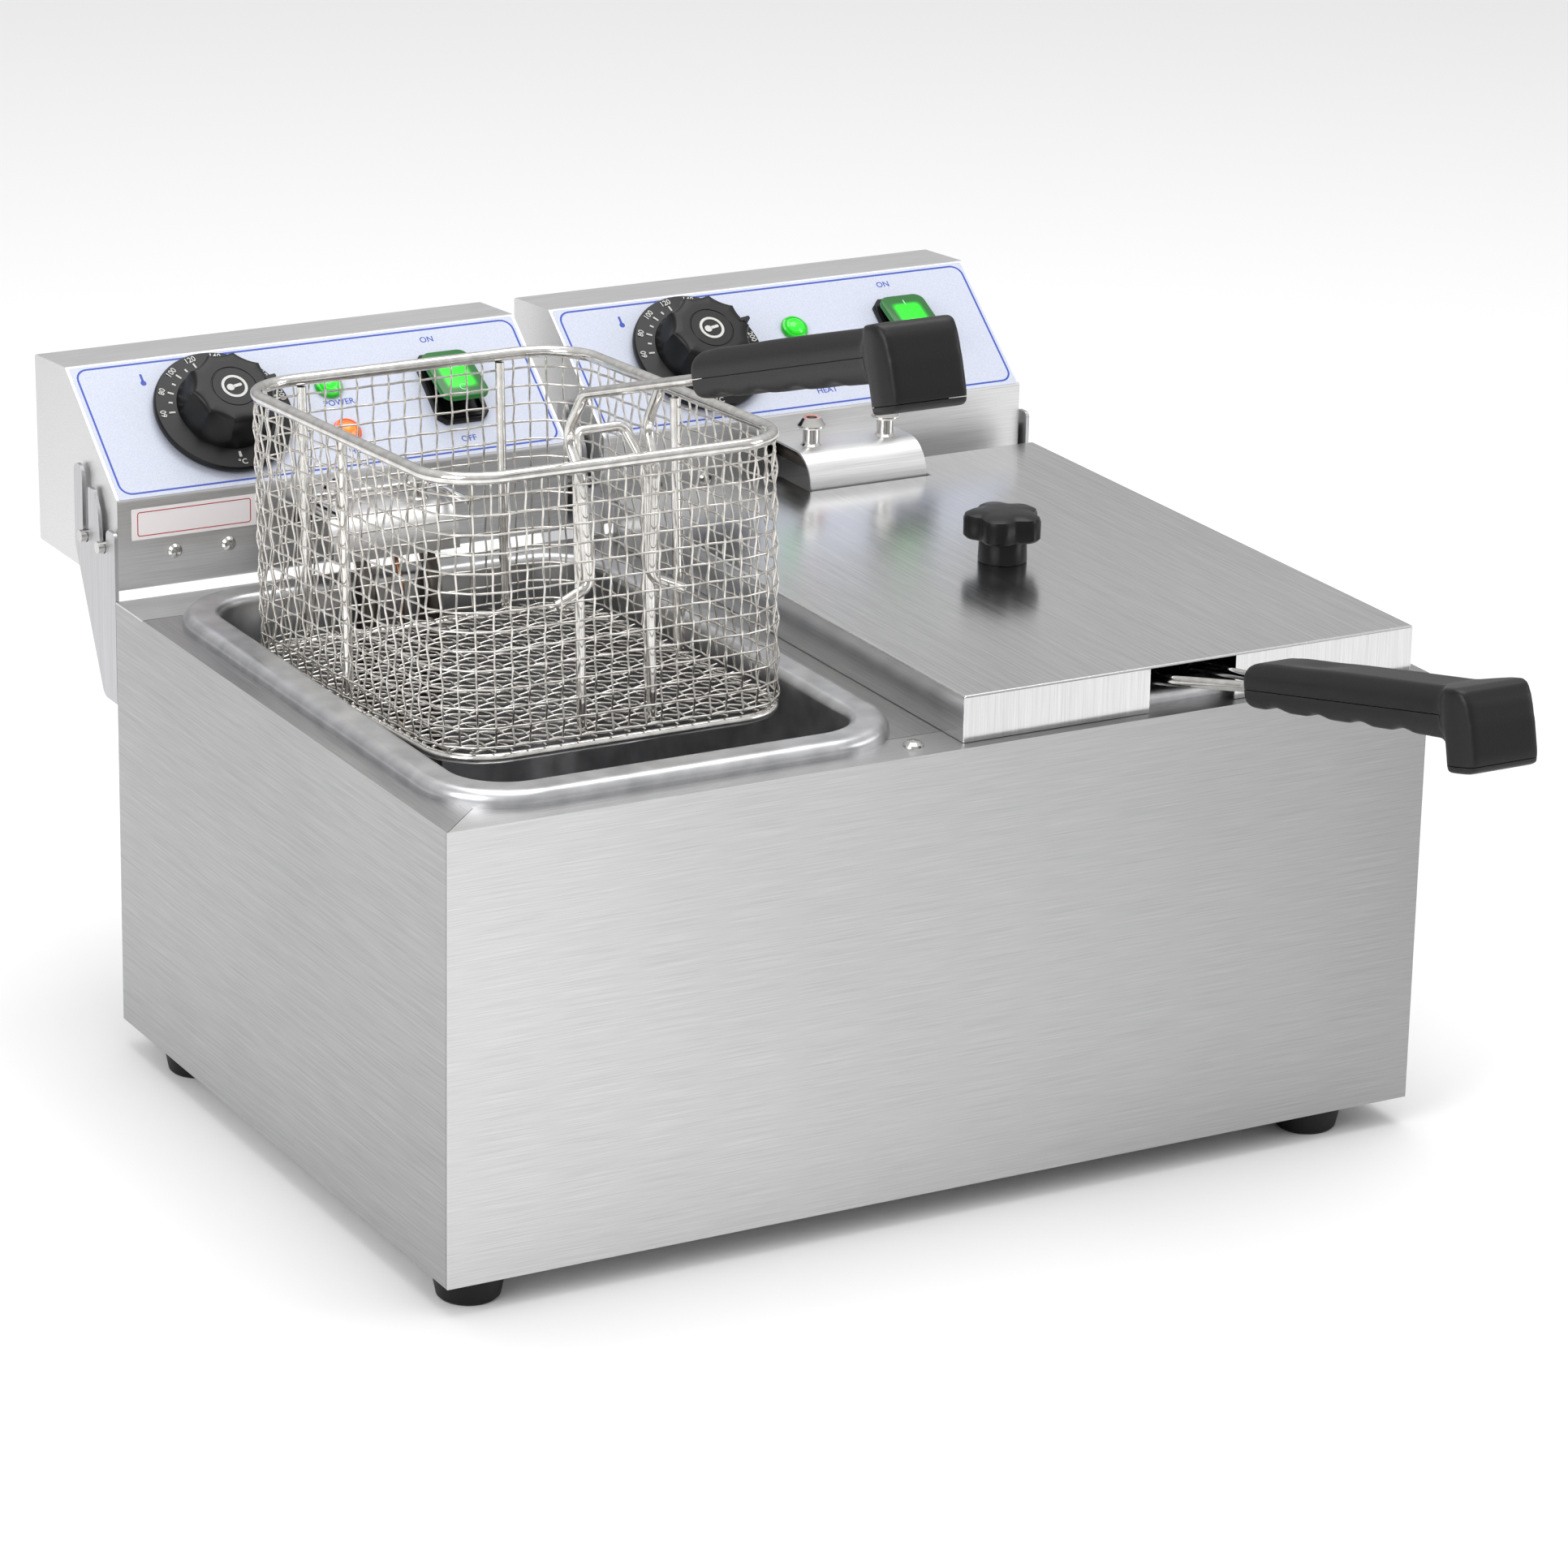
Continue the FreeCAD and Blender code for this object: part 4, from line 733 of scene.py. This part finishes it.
def floor_weave():
    """The floor: two sets of wires that cross at the same pitch, cut to the rounded outline."""
    runs = []
    for axis, swing_sign in ((0, 1), (1, -1)):
        half, reach = BASKET_HALF[axis], BASKET_HALF[1 - axis]
        count = int(half / WALL_PITCH)
        for line in range(-count, count + 1):
            offset = line * WALL_PITCH
            into_corner = max(0.0, abs(offset) - (half - BASKET_CORNER))
            end = reach - BASKET_CORNER + math.sqrt(max(0.0, BASKET_CORNER ** 2 - into_corner ** 2))
            steps = int(2 * end / WALL_PITCH * STEPS)
            points = []
            for step in range(steps + 1):
                run = -end + step * 2 * end / steps
                swing = WIRE * swing_sign * math.cos(math.pi * (run / WALL_PITCH + line))
                flat = (offset, run) if axis == 0 else (run, offset)
                points.append(Vector((*flat, WEAVE_FLOOR + swing)))
            runs.append((points, False))
    return runs


# The left basket hangs on its posts nose up and the right one stands in its well, so they tilt apart.
BASKET_TILT = {"left": -3.2, "right": 1.6}
MESH_CORNERS = [Vector((x, y, z)) for x in (-98, 98) for y in (-126.5, 126.5) for z in (-138, -3.25)]
basket_place = {}
for side in SIDES:
    low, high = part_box(f"{side}_basket_mesh")
    turn = Matrix.Rotation(math.radians(BASKET_TILT[side]), 4, "X")
    box_corners = [turn @ corner for corner in MESH_CORNERS]
    top = max(corner.z for corner in box_corners) * MM
    back = max(corner.y for corner in box_corners) * MM
    origin = Vector(((low[0] + high[0]) / 2, high[1] - back, high[2] - top))
    basket_place[side] = Matrix.Translation(origin) @ turn @ Matrix.Scale(MM, 4)
    for part, runs, replaced in (("rows", wall_weave(), [f"{side}_basket_mesh"]),
                                 ("uprights", upright_weave(), []), ("floor", floor_weave(), [])):
        wires = wire_runs(f"{side}_weave_{part}", runs, WIRE)
        finished(wires, weave_wire, f"{side}_basket", "basket_wire", basket_place[side], *replaced)
    dress(frame_wire, f"{side}_basket_frame", f"{side}_handle_wires")

# ---------------------------------------------------------------- handle grips
# Two-part grips moulded in textured black ABS: an upper half that ends in a broad stop, and a lower
# half with finger dips that runs down the stop's front and under it. A fine seam shows between them.

GRIP_RISE, GRIP_START = 14.2, (0, -215.83, 59.06)
STOP_HALF_WIDTH, STEM_HALF_WIDTH = 20.8, 15.8
SEAM_GAP = 0.2
FINGERS, FINGER_PITCH, FIRST_FINGER, DIP_RADIUS = 4, 36, 33, 22
grip_abs = moulded("textured_abs", "#0D0D0E", 0.42, 0.9, 0.04, 0.4)


def underside(y):
    """Height of the grip's underside: a slight slope with four finger dips pressed into it."""
    dips = []
    for finger in range(FINGERS):
        away = y + FIRST_FINGER + FINGER_PITCH * finger
        dips.append(-29.8 - 0.6 * finger + math.sqrt(max(0, DIP_RADIUS ** 2 - away ** 2)))
    return max([-9.6 + (y + 14) * 2.6 / 162] + dips)


def side_solid(name, outline, half_width):
    """A side outline of (y, z) points made solid across X, in mm."""
    deselect()
    bpy.ops.mesh.primitive_circle_add(vertices=len(outline), radius=1, fill_type="NGON", location=(0, 0, 0))
    piece = bpy.context.object
    for vertex, (y, z) in zip(piece.data.vertices, outline):
        vertex.co = (-half_width, y, z)
    begin(name)
    bpy.ops.mesh.extrude_region_move(TRANSFORM_OT_translate={"value": (2 * half_width, 0, 0)})
    bpy.ops.mesh.select_all(action="SELECT")
    bpy.ops.mesh.normals_make_consistent(inside=False)
    bpy.ops.object.mode_set(mode="OBJECT")
    return piece


def blend(value, low, high):
    """Smooth step from 0 at `low` to 1 at `high`."""
    share = min(1.0, max(0.0, (value - low) / (high - low)))
    return share * share * (3 - 2 * share)


form = side_solid("grip_form", [
    (-8.3, -6), (-8.3, 8), (-10, 11), (-14, 12.6), (-30, 13.3), (-70, 13.6), (-120, 13.4), (-172, 13),
    (-182, 13.8), (-198, 14.3), (-202.5, 12.8), (-205.6, 7), (-207.2, -4), (-207.6, -19), (-206.4, -25.2),
    (-203, -26.3), (-185, -26.3), (-181, -24.5), (-178, -16)]
    + [(y, underside(y)) for y in range(-174, -13, 3)] + [(-10, -8.6)], STOP_HALF_WIDTH)
apply_modifier(form, "REMESH", mode="VOXEL", voxel_size=1.0)
for vertex in form.data.vertices:
    # The stem is narrower than the stop, rounder above and below, and dished for the thumb.
    x, y, z = vertex.co
    stem = 1 - blend(-y, 176, 190)
    x *= 1 - (1 - STEM_HALF_WIDTH / STOP_HALF_WIDTH) * stem
    x *= 1 - (0.30 * blend(z, 3, 14.5) ** 1.5 + 0.2 * blend(-z, 4, 13)) * stem
    x *= 1 - 0.1 * blend(-y, 196, 208) * (1 - stem)
    z -= 1.5 * math.exp(-((y + 58) / 17) ** 2 - (x / 7.5) ** 2) * blend(z, 6, 12)
    vertex.co = (x, y, z)
apply_modifier(form, "SMOOTH", factor=0.5, iterations=26)
cutters = {
    "upper": [(5, SEAM_GAP), (5, 30), (-220, 30), (-220, SEAM_GAP - 22.6), (-183.4, SEAM_GAP - 22.6),
              (-179.1, SEAM_GAP)],
    "lower": [(5, -SEAM_GAP), (5, -40), (-220, -40), (-220, -SEAM_GAP - 22.6), (-182.9, -SEAM_GAP - 22.6),
              (-178.6, -SEAM_GAP)]}
for half, outline in cutters.items():
    cutter = side_solid("cutter", outline, 40)
    part = form.copy()
    part.data = form.data.copy()
    bpy.context.collection.objects.link(part)
    apply_modifier(part, "BOOLEAN", operation="INTERSECT", solver="EXACT", object=cutter)
    bpy.data.objects.remove(cutter)
    if half == "lower":
        # A rib inside stands across the seam and locates the two halves.
        part = joined("grip_lower", [part, side_solid("locating_rib", [
            (-14, 0.7), (-177.5, 0.7), (-182, -21.8), (-200, -21.8), (-200, -23.4), (-180.6, -23.4), (-176.2, -0.7),
            (-14, -0.7)], 12.5)])
    for side in SIDES:
        grip = part.copy()
        grip.data = part.data.copy()
        grip.name = grip.data.name = f"{side}_grip_{half}_moulding"
        bpy.context.collection.objects.link(grip)
        finished(grip, grip_abs, f"{side}_basket", "grip_plastic", basket_place[side]
                 @ Matrix.Translation(GRIP_START) @ Matrix.Rotation(math.radians(-GRIP_RISE), 4, "X"),
                 f"{side}_grip_{half}")
        shade(grip, 45)
    bpy.data.objects.remove(part)
bpy.data.objects.remove(form)

# ---------------------------------------------------------------- floor, light and camera
# A plain near-white floor and a pale sky that is darker near the horizon. Three soft boxes stand to the
# left, overhead and to the right, and a long lens looks down on the front from the left.

deselect()
bpy.ops.mesh.primitive_plane_add(size=12, location=(0, 0, 0))
floor = bpy.context.object
floor.name = "studio_floor"
floor.data.materials.append(start_material("studio_paper", "#F4F4F4", 0.0, 0.9)[0])

world = bpy.data.worlds.new("studio")
bpy.context.scene.world = world
world.use_nodes = True
sky = world.node_tree
height = add_node(sky, "ShaderNodeSeparateXYZ", links={
    "Vector": add_node(sky, "ShaderNodeTexCoord").outputs["Generated"]}).outputs["Z"]
shades = add_node(sky, "ShaderNodeValToRGB", {"stops": ((0.05, "#BDBDBD"), (0.75, "#FFFFFF"))},
                  {"Fac": height})
sky.links.new(shades.outputs["Color"], sky.nodes["Background"].inputs["Color"])
sky.nodes["Background"].inputs["Strength"].default_value = 0.8

for name, place, size, watts in (
        ("left_softbox", (-2.6, -0.9, 1.7), 1.6, 34),
        ("top_softbox", (0.2, 0.3, 2.8), 2.2, 42),
        ("right_softbox", (2.6, -1.6, 1.3), 1.2, 14)):
    lamp_data = bpy.data.lights.new(name, "AREA")
    lamp_data.size = size
    lamp_data.energy = watts
    lamp = bpy.data.objects.new(name, lamp_data)
    bpy.context.collection.objects.link(lamp)
    lamp.location = place
    lamp.rotation_euler = (Vector((0, 0, 0.2)) - Vector(place)).to_track_quat("-Z", "Y").to_euler()
bpy.context.scene.view_settings.view_transform = "Standard"

camera_data = bpy.data.cameras.new("camera")
camera_data.lens = 136.70
camera_data.sensor_width = 36
camera_data.clip_end = 50
camera = bpy.data.objects.new("camera", camera_data)
bpy.context.collection.objects.link(camera)
AZIMUTH, ELEVATION, ROLL = -29.256, 19.222, 1.148
turn = Matrix.Rotation(math.radians(AZIMUTH), 4, "Z") @ Matrix.Rotation(math.radians(90 - ELEVATION), 4, "X") @ \
    Matrix.Rotation(math.radians(ROLL), 4, "Z")
camera.matrix_world = Matrix.Translation((-1.431485, -2.514866, 1.197623)) @ turn
bpy.context.scene.camera = camera
